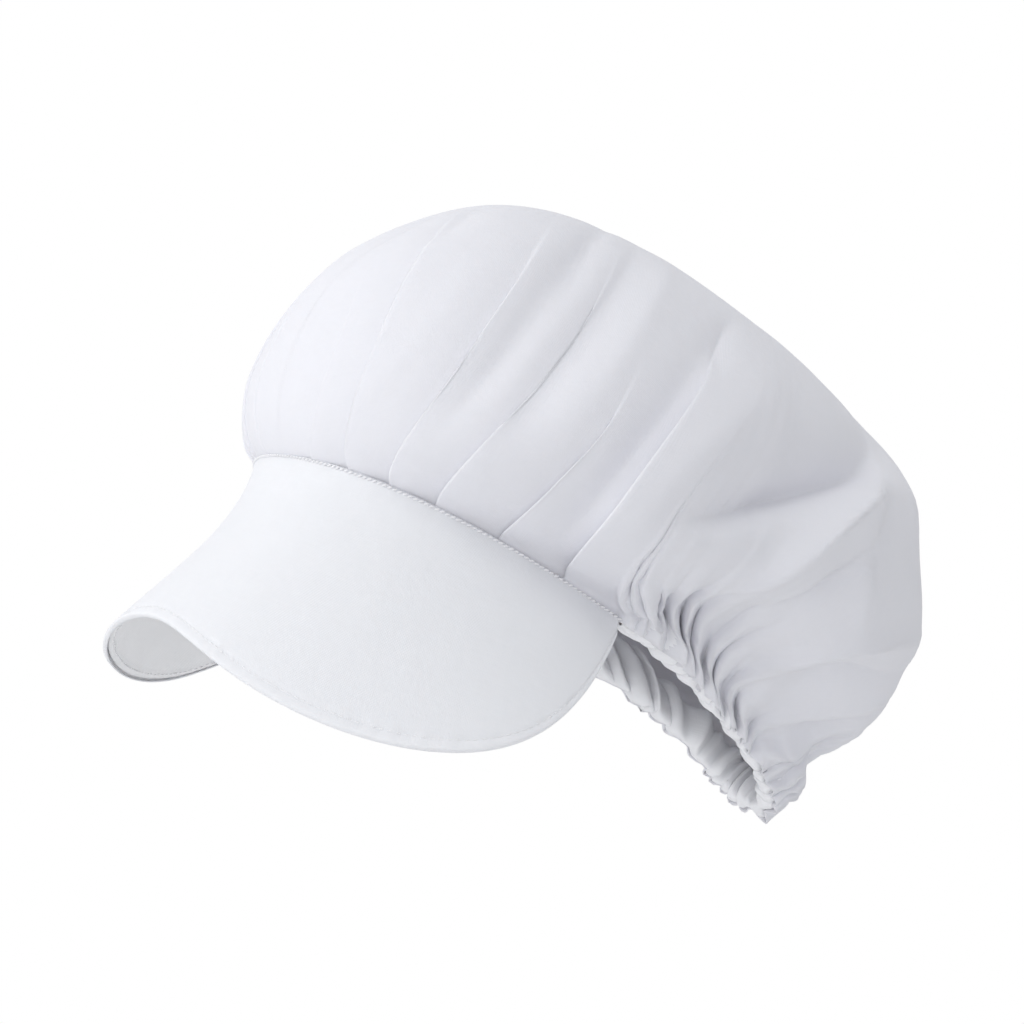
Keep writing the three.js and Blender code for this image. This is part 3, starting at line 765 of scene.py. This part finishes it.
def casing_half(side):
    """Sections of the casing along one half of the hem, from the seam's end to the nape."""
    count = int((HEM_LENGTH - CASING_FROM_SEAM) / CASING_STATION)
    column = np.linspace(SEAM_LENGTH + CASING_FROM_SEAM, RIM_LENGTH, count)
    outer = Ruffles(column[:, None], side)
    inner_column = np.minimum(column[:, None] + CASING_INNER_SHIFT * outer.width, RIM_LENGTH)
    inner = Ruffles(inner_column, -side)
    angle = np.linspace(0, 2 * np.pi, CASING_SECTION, endpoint=False)
    across = np.sign(np.cos(angle)) * np.abs(np.cos(angle)) ** CASING_ROUND_ACROSS
    out = np.sign(np.sin(angle)) * np.abs(np.sin(angle)) ** CASING_ROUND_OUT
    height = np.broadcast_to((across[None, :] + 1) / 2, (count, CASING_SECTION))
    climb = height * pinch_climb(column)[:, None]
    along = cloth_place(column[:, None], climb)
    above = (height - 1) * CASING_WIDTH
    outer_lift = np.maximum(outer.outer_lift(above) - CASING_UNDER, CASING_LEAST)
    inner_lift = CASING_CORE + inner.height * inner.crest
    inner_lift = inner_lift * (1 - CASING_INNER_PINCH * np.exp(-(above / PINCH_WIDTH) ** 2))
    lift = np.where(out[None, :] > 0, outer_lift, inner_lift) * out[None, :]
    end_close = smoothstep((column - SEAM_LENGTH) / CASING_CLOSES_OVER)[:, None]
    lift = lift * (CASING_END_SHARE + (1 - CASING_END_SHARE) * end_close)
    draw = outer.draw(above) * smoothstep((RIM_LENGTH - column) / CASING_SETTLES_OVER)[:, None]
    moved = np.clip(along + draw, 0, RIM_LENGTH)
    normal = form_normal(moved, np.maximum(climb, CASING_LEAST_CLIMB))
    points = crown_form(moved, climb) + normal * lift[..., None] + outer.scallop(height)
    points[..., 0] *= side
    along_run = column[:, None] * CASING_FULLNESS * side
    around_run = np.linspace(0, 2 * CASING_WIDTH, CASING_SECTION)[None, :]
    return points, np.stack(np.broadcast_arrays(along_run, around_run), -1)


def joined_at_nape(near, far):
    """One line of sections from the near seam end round the nape to the far one."""
    return np.concatenate([near, far[:-1][::-1]])


def tube_index(points):
    """Vertex numbers of a line of closed sections, with the first of each section again at its end."""
    stations, section = points.shape[:2]
    index = np.arange(stations * section).reshape(stations, section)
    return np.concatenate([index, index[:, :1]], axis=1)


def build_casing():
    """The gathered casing, in one length from seam end to seam end round the nape."""
    near, near_cloth = casing_half(1)
    far, far_cloth = casing_half(-1)
    near[-1, :, 0] = 0
    points = joined_at_nape(near, far)
    cloth = joined_at_nape(near_cloth, far_cloth)
    faces = grid_faces(tube_index(points))
    return mesh_object("hem_casing_cloth", points.reshape(-1, 3), faces, cloth.reshape(-1, 2))


def elastic_half(side):
    """Four-cornered sections of the elastic along one half of the hem."""
    column = np.arange(SEAM_LENGTH + ELASTIC_FROM_SEAM, RIM_LENGTH, ELASTIC_STATION)
    column = np.append(column, RIM_LENGTH)
    pinch = pinch_climb(column)
    low, high = ELASTIC_SPAN
    inner, outer = ELASTIC_LIFTS
    section = []
    for height, lift in [(low, inner), (high, inner), (high, outer), (low, outer)]:
        climb = height * pinch
        along = cloth_place(column, climb)
        section.append(crown_form(along, climb) + form_normal(along, climb) * lift)
    points = np.stack(section, axis=1)
    points[..., 0] *= side
    return points


def build_elastic():
    """The elastic band inside the casing, in one length from seam end to seam end round the nape."""
    near = elastic_half(1)
    near[-1, :, 0] = 0
    points = joined_at_nape(near, elastic_half(-1))
    index = tube_index(points)
    ends = [index[0, :-1].tolist(), index[-1, :-1][::-1].tolist()]
    faces = grid_faces(index, flip=True).tolist() + ends
    return mesh_object("hem_elastic_band", points.reshape(-1, 3), faces)


def peak_edge(share):
    """The peak's front edge, for shares of the way from its centre to the seam's end."""
    return bezier([np.array(point, float) for point in PEAK_EDGE_SHAPE] + [SEAM_END], share)


def peak_surface(a, b, depth):
    """Points of the peak for shares a along the seam, negative on the far side, and b out to the edge."""
    a, b = np.broadcast_arrays(np.asarray(a, float), np.asarray(b, float))
    share = np.abs(a)
    far = a < 0
    along = share * SEAM_LENGTH
    root = rim_point(along)
    root = root + outward_at(root) * PEAK_ROOT_OUT + UPWARD * PEAK_ROOT_UP
    fall = peak_edge(share) - root
    nudge = 0.5
    seam_way = rim_point(along + nudge) - rim_point(np.maximum(along - nudge, 0))
    lift_way = -np.cross(seam_way, fall)
    lift_way /= np.linalg.norm(lift_way, axis=-1, keepdims=True)
    camber = 4 * PEAK_CAMBER * b * (1 - b) * (1 - share ** 2)
    sag = PEAK_SAG * b / PEAK_SAG_PLACE * np.exp(1 - b / PEAK_SAG_PLACE) * (1 - b ** 4)
    sag = sag * np.exp(-((a - PEAK_SAG_CENTRE) / PEAK_SAG_WIDTH) ** 2)
    from_seam = b * np.linalg.norm(fall, axis=-1)
    from_edge = (1 - b) * np.linalg.norm(fall, axis=-1)
    off_stitch = from_edge - EDGE_STITCH_INSET
    pucker = cloth_noise("seam pucker", along, from_seam, far) * np.exp(-from_seam / SEAM_PUCKER_RUN)
    pucker = pucker * smoothstep(from_seam / SEAM_PUCKER_GROWS_OVER)
    wave = cloth_noise("peak wave", a + PEAK_WAVE_START, b, far)
    wave = wave * smoothstep(from_seam / PEAK_WAVE_GROWS_OVER)
    groove = EDGE_GROOVE * np.exp(-(off_stitch / EDGE_GROOVE_WIDTH) ** 2)
    edge_pucker = cloth_noise("edge pucker", along, from_edge, far)
    edge_pucker = edge_pucker * np.exp(-(off_stitch / EDGE_PUCKER_WIDTH) ** 2)
    rise = camber - sag + pucker + wave - groove + edge_pucker - depth
    points = root + fall * b[..., None] + lift_way * rise[..., None]
    points[..., 0] = np.where(far, -points[..., 0], points[..., 0])
    return points


def turned_edge(a, b, depth):
    """Rows of cloth that turn down over the peak's front edge."""
    last = peak_surface(a, b[:, -1:], depth)
    outward = last - peak_surface(a, b[:, -2:-1] - EDGE_LOOK_BACK, depth)
    outward /= np.linalg.norm(outward, axis=-1, keepdims=True)
    down = peak_surface(a, b[:, -1:], depth + EDGE_TURN_DEPTH) - last
    return [last + outward * EDGE_TURN_OUT * math.sin(t) + down * (1 - math.cos(t)) for t in EDGE_TURNS]


def build_peak_ply(name, depth, inset, turn_edge):
    """One ply of the peak. The upper ply turns down over the front edge."""
    a = np.linspace(-PEAK_END, PEAK_END, 2 * PEAK_COLUMNS + 1)[:, None]
    b = np.linspace(0, 1, PEAK_ROWS + 1)[None, :]
    b = (b + smoothstep(b)) / 2 * (1 - inset)
    points = peak_surface(a, b, depth)
    if turn_edge:
        points = np.concatenate([points] + turned_edge(a, b, depth), axis=1)
    columns, rows = points.shape[:2]
    index = np.arange(columns * rows).reshape(columns, rows)
    run = np.stack([run_of(line) for line in points])
    cloth = np.stack(np.broadcast_arrays(a * SEAM_LENGTH * PEAK_FULLNESS, run), -1)
    return mesh_object(name, points.reshape(-1, 3), grid_faces(index, flip=True), cloth.reshape(-1, 2))


# Node helpers


class Value:
    """A node's output, or a sum of outputs and numbers, which Math nodes work out."""

    def __init__(self, nodes, socket):
        self.nodes = nodes
        self.socket = socket

    def output(self, name):
        """Another output of the same node."""
        return Value(self.nodes, self.socket.node.outputs[name])

    def _sum(self, operation, *terms):
        return self.nodes.add("ShaderNodeMath", dict(enumerate(terms)), operation=operation)

    def __add__(self, other):
        return self._sum("ADD", self, other)

    __radd__ = __add__

    def __sub__(self, other):
        return self._sum("SUBTRACT", self, other)

    def __rsub__(self, other):
        return self._sum("SUBTRACT", other, self)

    def __mul__(self, other):
        return self._sum("MULTIPLY", self, other)

    __rmul__ = __mul__

    def cosine(self):
        return self._sum("COSINE", self)

    def sine(self):
        return self._sum("SINE", self)


class Nodes:
    """A node tree, with one method that adds any node to it."""

    def __init__(self, tree):
        self.tree = tree

    def add(self, kind, inputs=(), output=0, **settings):
        """Adds a node: its settings first, then its sockets' values or links, by name or number."""
        node = self.tree.nodes.new(kind)
        for key, value in settings.items():
            setattr(node, key, value)
        for key, value in dict(inputs).items():
            if isinstance(value, Value):
                self.tree.links.new(value.socket, node.inputs[key])
            else:
                node.inputs[key].default_value = value
        if node.outputs:
            return Value(self, node.outputs[output])


def new_material(name):
    """An empty material and the nodes to fill it with."""
    material = bpy.data.materials.new(name)
    material.use_nodes = True
    material.node_tree.nodes.clear()
    return material, Nodes(material.node_tree)


def opaque(colour):
    """A colour with full opacity as its fourth part."""
    return tuple(colour) + (1.0,)


def weave(nodes, cloth, thread_pitch):
    """Plain weave: threads that pass over and under each other."""
    across = nodes.add("ShaderNodeSeparateXYZ", {"Vector": cloth}, output="X")
    along = across.output("Y")
    turns = 2 * math.pi / thread_pitch
    weft = (across * turns).cosine()
    warp = (along * turns).cosine()
    over = (across * (turns / 2)).sine() * (along * (turns / 2)).sine()
    return weft * (0.25 + 0.25 * over) + warp * (0.25 - 0.25 * over)


def slubs(nodes, cloth):
    """Thicker stretches of single threads, both ways."""
    streaks = []
    for scale in SLUB_SCALES:
        place = nodes.add("ShaderNodeMapping", {"Vector": cloth, "Scale": scale})
        noise = {"Vector": place, "Scale": 1.0, "Detail": 2.0}
        streaks.append(nodes.add("ShaderNodeTexNoise", noise, noise_dimensions="2D"))
    return streaks[0] + streaks[1]


def cloth_material(name, colour, look):
    """Plain-weave cotton blend: crossing threads, slubs, faint creases with painted shade in their
    hollows, and a soft bloom.
    """
    material, nodes = new_material(name)
    cloth = nodes.add("ShaderNodeUVMap", uv_map="Cloth")
    slub = slubs(nodes, cloth)
    crease = nodes.add("ShaderNodeTexNoise", {
        "Vector": nodes.add("ShaderNodeTexCoord", output="Object"),
        "Scale": CREASE_SCALE, "Detail": 3.0, "Roughness": 0.55,
    })
    thread_bump = nodes.add("ShaderNodeBump", {
        "Strength": look.weave_strength, "Distance": THREAD_RELIEF,
        "Height": weave(nodes, cloth, look.thread_pitch) + 0.5 * slub,
    })
    bump = nodes.add("ShaderNodeBump", {
        "Strength": 0.35, "Distance": CREASE_RELIEF, "Height": crease, "Normal": thread_bump,
    })
    # The colour follows the slubs' tone. It is also painted deeper in the crease texture's hollows and
    # paler on its ridges, as shade and light
    deeper = opaque(part * DEEPER for part in colour)
    paler = opaque(min(1.0, part * PALER) for part in colour)
    slub_tone_and_crease_shade = {0: 0.35 * slub + 0.3 * crease, 6: deeper, 7: paler}
    surface = nodes.add("ShaderNodeBsdfPrincipled", {
        "Base Color": nodes.add("ShaderNodeMix", slub_tone_and_crease_shade, output=2, data_type="RGBA"),
        "Normal": bump,
        "Roughness": 0.78 + 0.1 * slub,
        "Sheen Weight": look.sheen,
        "Sheen Roughness": 0.45,
        "Specular IOR Level": 0.25,
        "Subsurface Weight": look.glow,
        "Subsurface Radius": SCATTER_RADIUS,
        "Subsurface Scale": 0.0015,
    })
    nodes.add("ShaderNodeOutputMaterial", {"Surface": surface})
    return material


def thread_material(name, colour):
    """Twisted sewing thread, or the threads of the elastic."""
    material, nodes = new_material(name)
    place = nodes.add("ShaderNodeTexCoord", output="Object")
    wave = {"Vector": place, "Scale": TWIST_SCALE, "Distortion": 0.5}
    twist = nodes.add("ShaderNodeTexWave", wave, output=1, wave_type="BANDS", bands_direction="DIAGONAL")
    bump = nodes.add("ShaderNodeBump", {"Strength": 0.5, "Distance": TWIST_RELIEF, "Height": twist})
    surface = {"Base Color": opaque(colour), "Normal": bump, "Roughness": 0.55}
    nodes.add("ShaderNodeOutputMaterial", {"Surface": nodes.add("ShaderNodeBsdfPrincipled", surface)})
    return material


# Stitches by Geometry Nodes


def stitch_tree():
    """Node tree that lays a row of stitches along a line of edges."""
    tree = bpy.data.node_groups.new("Row of stitches", "GeometryNodeTree")
    inputs = {
        "Line": ("NodeSocketGeometry", None),
        "Pitch": ("NodeSocketFloat", 0.0028),
        "Stitch length": ("NodeSocketFloat", 0.0021),
        "Thread radius": ("NodeSocketFloat", 0.0002),
        "Unevenness": ("NodeSocketFloat", 0.12),
        "Slant": ("NodeSocketFloat", 0.0),
        "Thread": ("NodeSocketMaterial", None),
    }
    for name, (kind, default) in inputs.items():
        socket = tree.interface.new_socket(name, in_out="INPUT", socket_type=kind)
        if default is not None:
            socket.default_value = default
    tree.interface.new_socket("Stitches", in_out="OUTPUT", socket_type="NodeSocketGeometry")
    nodes = Nodes(tree)
    given = nodes.add("NodeGroupInput")
    line = nodes.add("GeometryNodeMeshToCurve", {"Mesh": given.output("Line")})
    spacing = {"Curve": line, "Length": given.output("Pitch")}
    spaced = nodes.add("GeometryNodeResampleCurve", spacing, mode="LENGTH")
    bead = nodes.add("GeometryNodeMeshUVSphere", {"Segments": 6, "Rings": 5, "Radius": 1.0})
    radius = given.output("Thread radius")
    half_length = given.output("Stitch length") * 0.5
    size = nodes.add("ShaderNodeCombineXYZ", {"X": radius, "Y": radius, "Z": half_length})
    stitch = nodes.add("GeometryNodeTransform", {"Geometry": bead, "Scale": size})
    slanted = nodes.add("ShaderNodeVectorRotate", {
        "Vector": nodes.add("GeometryNodeInputTangent"),
        "Axis": nodes.add("GeometryNodeInputPosition"),
        "Angle": given.output("Slant"),
    }, rotation_type="AXIS_ANGLE")
    facing = nodes.add("FunctionNodeAlignRotationToVector", {"Vector": slanted}, axis="Z")
    span = {2: 1.0 - given.output("Unevenness"), 3: 1.0, "Seed": 7}
    scatter = nodes.add("FunctionNodeRandomValue", span, output=1, data_type="FLOAT")
    placed = nodes.add("GeometryNodeInstanceOnPoints", {
        "Points": spaced, "Instance": stitch, "Rotation": facing, "Scale": scatter,
    })
    real = nodes.add("GeometryNodeRealizeInstances", {"Geometry": placed})
    colour = {"Geometry": real, "Material": given.output("Thread")}
    coloured = nodes.add("GeometryNodeSetMaterial", colour)
    nodes.add("NodeGroupOutput", {0: coloured})
    return tree


def stitch_row(name, points, tree, values):
    """A row of stitches along a line of points, as a plain mesh."""
    mesh = bpy.data.meshes.new(name)
    mesh.from_pydata((points * MM).tolist(), [(i, i + 1) for i in range(len(points) - 1)], [])
    obj = bpy.data.objects.new(name, mesh)
    link(obj)
    modifier = obj.modifiers.new("Stitches", "NODES")
    modifier.node_group = tree
    for item in tree.interface.items_tree:
        if item.item_type == "SOCKET" and item.in_out == "INPUT" and item.name in values:
            modifier[item.identifier] = values[item.name]
    apply_modifiers(obj)
    obj.data.materials.clear()
    obj.data.materials.append(values["Thread"])
    return obj


def seam_stitch_line():
    """Line of the seam's stitches, on the peak close beside the crown."""
    a = np.linspace(-PEAK_END, PEAK_END, SEAM_STITCH_POINTS)
    return peak_surface(a, np.full_like(a, SEAM_STITCH_PLACE), -SEAM_STITCH_LIFT)


def edge_stitch_line(depth):
    """Line of the topstitch, a little inside the peak's front edge."""
    end = PEAK_END * EDGE_STITCH_END
    a = np.linspace(-end, end, EDGE_STITCH_POINTS)
    fall = peak_edge(np.abs(a)) - rim_point(np.abs(a) * SEAM_LENGTH)
    inset = EDGE_STITCH_INSET / np.maximum(np.linalg.norm(fall, axis=-1), EDGE_INSET_LEAST)
    return peak_surface(a, 1 - inset, depth)


# Settings that a user would change


class CapForm(bpy.types.PropertyGroup):
    cloth_thickness: FloatProperty(
        name="Cloth thickness", description="Thickness of the crown's cloth",
        default=0.0005, min=0.0002, unit="LENGTH")
    stitch_pitch: FloatProperty(
        name="Stitch pitch", description="Distance from one stitch to the next",
        default=0.0027, unit="LENGTH")
    stitch_length: FloatProperty(
        name="Stitch length", description="Length of one stitch",
        default=0.0020, unit="LENGTH")
    seam_stitch_pitch: FloatProperty(
        name="Seam stitch pitch", description="Distance between the seam's slanting stitches",
        default=0.00195, unit="LENGTH")
    seam_stitch_slant: FloatProperty(
        name="Seam stitch slant", description="Turn of the seam's stitches from its line",
        default=math.radians(28), subtype="ANGLE")
    thread_radius: FloatProperty(
        name="Thread radius", description="Half the thickness of the thread",
        default=0.00024, unit="LENGTH")


class CapLook(bpy.types.PropertyGroup):
    crown_colour: FloatVectorProperty(
        name="Crown colour", description="Colour of the crown's cloth",
        subtype="COLOR", default=(0.80, 0.80, 0.845))
    peak_colour: FloatVectorProperty(
        name="Peak colour", description="Colour of the peak's cloth",
        subtype="COLOR", default=(0.83, 0.835, 0.865))
    # Painted light: the peak's lower cloth is the same cloth as the upper, made paler to brighten the
    # underside where it sits in shade
    underside_colour_with_painted_light: FloatVectorProperty(
        name="Underside colour with painted light", description="Colour of the peak's lower cloth, painted paler as light on its shaded face",
        subtype="COLOR", default=(0.96, 0.96, 0.975))
    # Painted light: the casing is the crown's same cloth, made paler to brighten the shaded band inside
    # the hem
    casing_colour_with_painted_light: FloatVectorProperty(
        name="Casing colour with painted light", description="Colour of the hem casing's cloth, painted paler as light inside the shaded hem",
        subtype="COLOR", default=(0.95, 0.95, 0.98))
    thread_colour: FloatVectorProperty(
        name="Thread colour", description="Colour of the sewing thread",
        subtype="COLOR", default=(0.86, 0.86, 0.88))
    elastic_colour: FloatVectorProperty(
        name="Elastic colour", description="Colour of the elastic band",
        subtype="COLOR", default=(0.88, 0.87, 0.84))
    thread_pitch: FloatProperty(
        name="Thread pitch", description="Distance between threads of the weave",
        default=0.00052, unit="LENGTH")
    weave_strength: FloatProperty(
        name="Weave strength", description="How strongly the threads stand out",
        default=0.35, min=0, max=1, subtype="FACTOR")
    sheen: FloatProperty(
        name="Sheen", description="Soft bloom of the cotton's fibres",
        default=0.12, min=0, max=1, subtype="FACTOR")
    glow: FloatProperty(
        name="Glow", description="Light that passes through the cloth",
        default=0.25, min=0, max=1, subtype="FACTOR")


class CapStage(bpy.types.PropertyGroup):
    camera_distance: FloatProperty(
        name="Camera distance", description="From the cap's origin to the camera",
        default=1.1, unit="LENGTH")
    camera_azimuth: FloatProperty(
        name="Camera azimuth", description="Turn of the camera round the cap",
        default=math.radians(58), subtype="ANGLE")
    camera_elevation: FloatProperty(
        name="Camera elevation", description="Height angle of the camera",
        default=math.radians(3), subtype="ANGLE")
    floor_drop: FloatProperty(
        name="Floor drop", description="From the cap's origin down to the floor",
        default=0.32, unit="LENGTH")
    side_power: FloatProperty(
        name="Side light", description="Power of the soft light from the left",
        default=7.0, unit="POWER")
    top_power: FloatProperty(
        name="Top light", description="Power of the soft light from above",
        default=5.1, unit="POWER")
    front_power: FloatProperty(
        name="Front light", description="Power of the light by the camera",
        default=3.5, unit="POWER")
    back_power: FloatProperty(
        name="Back light", description="Power of the light from above behind",
        default=1.3, unit="POWER")
    ambient: FloatProperty(
        name="Ambient light", description="Strength of the light from all round",
        default=0.66)


# Operators


def dress(obj, material):
    """Gives a piece its one material."""
    obj.data.materials.append(material)


class BOUFFANT_OT_crown(bpy.types.Operator):
    """Build the crown's cloth with its pleats and gathers"""
    bl_idname = "bouffant.crown"
    bl_label = "Crown"

    def execute(self, context):
        look = context.scene.bouffant_look
        crown = build_crown()
        add_thickness(crown, context.scene.bouffant_form.cloth_thickness / MM)
        dress(crown, cloth_material("Crown cloth", look.crown_colour, look))
        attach(crown, BODY)
        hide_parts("crown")
        return {"FINISHED"}


class BOUFFANT_OT_peak(bpy.types.Operator):
    """Build the two plies of the peak"""
    bl_idname = "bouffant.peak"
    bl_label = "Peak"

    def execute(self, context):
        look = context.scene.bouffant_look
        top = build_peak_ply("peak_top_cloth", 0.0, 0.0, True)
        add_thickness(top, PEAK_CLOTH)
        dress(top, cloth_material("Peak cloth", look.peak_colour, look))
        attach(top, BODY)
        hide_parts("peak_top")
        under = build_peak_ply("peak_underside_cloth", UNDERSIDE_DEPTH, UNDERSIDE_INSET, False)
        add_thickness(under, PEAK_CLOTH)
        # The underside's colour is painted paler, as light on its shaded face
        dress(under, cloth_material("Peak underside cloth", look.underside_colour_with_painted_light, look))
        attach(under, BODY)
        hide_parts("peak_underside")
        return {"FINISHED"}


class BOUFFANT_OT_hem(bpy.types.Operator):
    """Build the gathered casing and the elastic in it"""
    bl_idname = "bouffant.hem"
    bl_label = "Elasticated hem"

    def execute(self, context):
        look = context.scene.bouffant_look
        casing = build_casing()
        add_thickness(casing, CASING_CLOTH, offset=-1.0)
        # The casing's colour is painted paler, as light inside the shaded hem
        dress(casing, cloth_material("Casing cloth", look.casing_colour_with_painted_light, look))
        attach(casing, BODY)
        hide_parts("hem_casing")
        elastic = build_elastic()
        dress(elastic, thread_material("Elastic", look.elastic_colour))
        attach(elastic, BODY)
        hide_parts("hem_elastic")
        return {"FINISHED"}


class BOUFFANT_OT_stitches(bpy.types.Operator):
    """Sew the rows of stitches along the seam and the peak's edge"""
    bl_idname = "bouffant.stitches"
    bl_label = "Stitches"

    def execute(self, context):
        form = context.scene.bouffant_form
        fine = {
            "Pitch": form.stitch_pitch,
            "Stitch length": form.stitch_length,
            "Thread radius": form.thread_radius,
            "Thread": thread_material("Sewing thread", context.scene.bouffant_look.thread_colour),
        }
        bold = dict(fine)
        bold["Pitch"] = form.seam_stitch_pitch
        bold["Thread radius"] = SEAM_THREAD_BOLDER * form.thread_radius
        bold["Slant"] = form.seam_stitch_slant
        tree = stitch_tree()
        rows = [
            ("seam_stitches", seam_stitch_line(), bold),
            ("peak_edge_stitches", edge_stitch_line(-THREAD_LIFT), fine),
            ("peak_edge_stitches_below", edge_stitch_line(UNDERSIDE_DEPTH + THREAD_LIFT), fine),
        ]
        for name, points, values in rows:
            row = stitch_row(name, points, tree, values)
            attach(row, BODY)
        return {"FINISHED"}


class BOUFFANT_OT_stage(bpy.types.Operator):
    """Set the floor, the lights and the camera"""
    bl_idname = "bouffant.stage"
    bl_label = "Stage"

    def execute(self, context):
        stage = context.scene.bouffant_stage
        build_floor(stage)
        build_lights(stage)
        build_room(stage)
        build_camera(stage)
        return {"FINISHED"}


def build_floor(stage):
    """A matt floor that lights the cap from below and is itself seen as plain white."""
    bpy.ops.mesh.primitive_plane_add(size=FLOOR_SIZE, location=(0, 0, -stage.floor_drop))
    floor = bpy.context.object
    floor.name = "floor"
    material, nodes = new_material("Floor")
    mix = {
        0: nodes.add("ShaderNodeLightPath", output="Is Camera Ray"),
        1: nodes.add("ShaderNodeBsdfDiffuse", {"Color": FLOOR_GREY}),
        2: nodes.add("ShaderNodeEmission", {"Color": WHITE, "Strength": 1.0}),
    }
    nodes.add("ShaderNodeOutputMaterial", {"Surface": nodes.add("ShaderNodeMixShader", mix)})
    dress(floor, material)


def camera_way(stage):
    """Direction from the cap's origin to the camera."""
    azimuth = stage.camera_azimuth
    elevation = stage.camera_elevation
    flat = math.cos(elevation)
    return Vector((math.sin(azimuth) * flat, -math.cos(azimuth) * flat, math.sin(elevation)))


def build_lights(stage):
    """Large soft lights, each turned to the cap's origin."""
    near = camera_way(stage)
    right = Vector((math.cos(stage.camera_azimuth), math.sin(stage.camera_azimuth), 0.0))
    up = near.cross(right)
    for name, (towards, sideways, above) in LIGHTS.items():
        light = bpy.data.lights.new(name.capitalize() + " light", "AREA")
        light.shape = "DISK"
        light.size = LIGHT_SIZE
        light.energy = getattr(stage, name + "_power")
        obj = bpy.data.objects.new(light.name, light)
        obj.location = near * towards + right * sideways + up * above
        obj.rotation_euler = (-obj.location).to_track_quat("-Z", "Y").to_euler()
        link(obj)


def build_room(stage):
    """White all round: pure white where the camera sees it, softer where it lights the cap."""
    world = bpy.data.worlds.new("Soft white")
    bpy.context.scene.world = world
    world.use_nodes = True
    world.node_tree.nodes.clear()
    nodes = Nodes(world.node_tree)
    mix = {
        0: nodes.add("ShaderNodeLightPath", output="Is Camera Ray"),
        1: nodes.add("ShaderNodeBackground", {"Color": ROOM_WHITE, "Strength": stage.ambient}),
        2: nodes.add("ShaderNodeBackground", {"Color": WHITE}),
    }
    nodes.add("ShaderNodeOutputWorld", {"Surface": nodes.add("ShaderNodeMixShader", mix)})
    bpy.context.scene.view_settings.view_transform = "Standard"


def build_camera(stage):
    """The camera at the photo's viewing angle, shifted to put the cap where the photo has it."""
    camera = bpy.data.cameras.new("Camera")
    camera.sensor_width = SENSOR_WIDTH
    camera.lens = SENSOR_WIDTH * FOCAL_PIXELS / IMAGE_SIZE
    camera.shift_x = (IMAGE_SIZE / 2 - ORIGIN_PIXEL[0]) / IMAGE_SIZE
    camera.shift_y = (ORIGIN_PIXEL[1] - IMAGE_SIZE / 2) / IMAGE_SIZE
    obj = bpy.data.objects.new("Camera", camera)
    way = camera_way(stage)
    obj.location = way * stage.camera_distance
    obj.rotation_euler = way.to_track_quat("Z", "Y").to_euler()
    link(obj)
    bpy.context.scene.camera = obj


class BOUFFANT_PT_panel(bpy.types.Panel):
    """Steps and settings of the bouffant cap"""
    bl_idname = "BOUFFANT_PT_panel"
    bl_label = "Bouffant cap"
    bl_space_type = "VIEW_3D"
    bl_region_type = "UI"
    bl_category = "Bouffant cap"

    def draw(self, context):
        layout = self.layout
        for operator in OPERATORS:
            layout.operator(operator.bl_idname)
        for group_name, kind in GROUPS.items():
            for name in kind.__annotations__:
                layout.prop(getattr(context.scene, group_name), name)


OPERATORS = (
    BOUFFANT_OT_stage,
    BOUFFANT_OT_crown,
    BOUFFANT_OT_peak,
    BOUFFANT_OT_hem,
    BOUFFANT_OT_stitches,
)
GROUPS = {"bouffant_form": CapForm, "bouffant_look": CapLook, "bouffant_stage": CapStage}


def register():
    for group in GROUPS.values():
        bpy.utils.register_class(group)
    for operator in OPERATORS:
        bpy.utils.register_class(operator)
    bpy.utils.register_class(BOUFFANT_PT_panel)
    for name, group in GROUPS.items():
        setattr(bpy.types.Scene, name, PointerProperty(type=group))


def unregister():
    for name in GROUPS:
        delattr(bpy.types.Scene, name)
    bpy.utils.unregister_class(BOUFFANT_PT_panel)
    for operator in reversed(OPERATORS):
        bpy.utils.unregister_class(operator)
    for group in reversed(GROUPS.values()):
        bpy.utils.unregister_class(group)


def main():
    register()
    bpy.ops.bouffant.stage()
    bpy.ops.bouffant.crown()
    bpy.ops.bouffant.peak()
    bpy.ops.bouffant.hem()
    bpy.ops.bouffant.stitches()


if __name__ == "__main__":
    main()
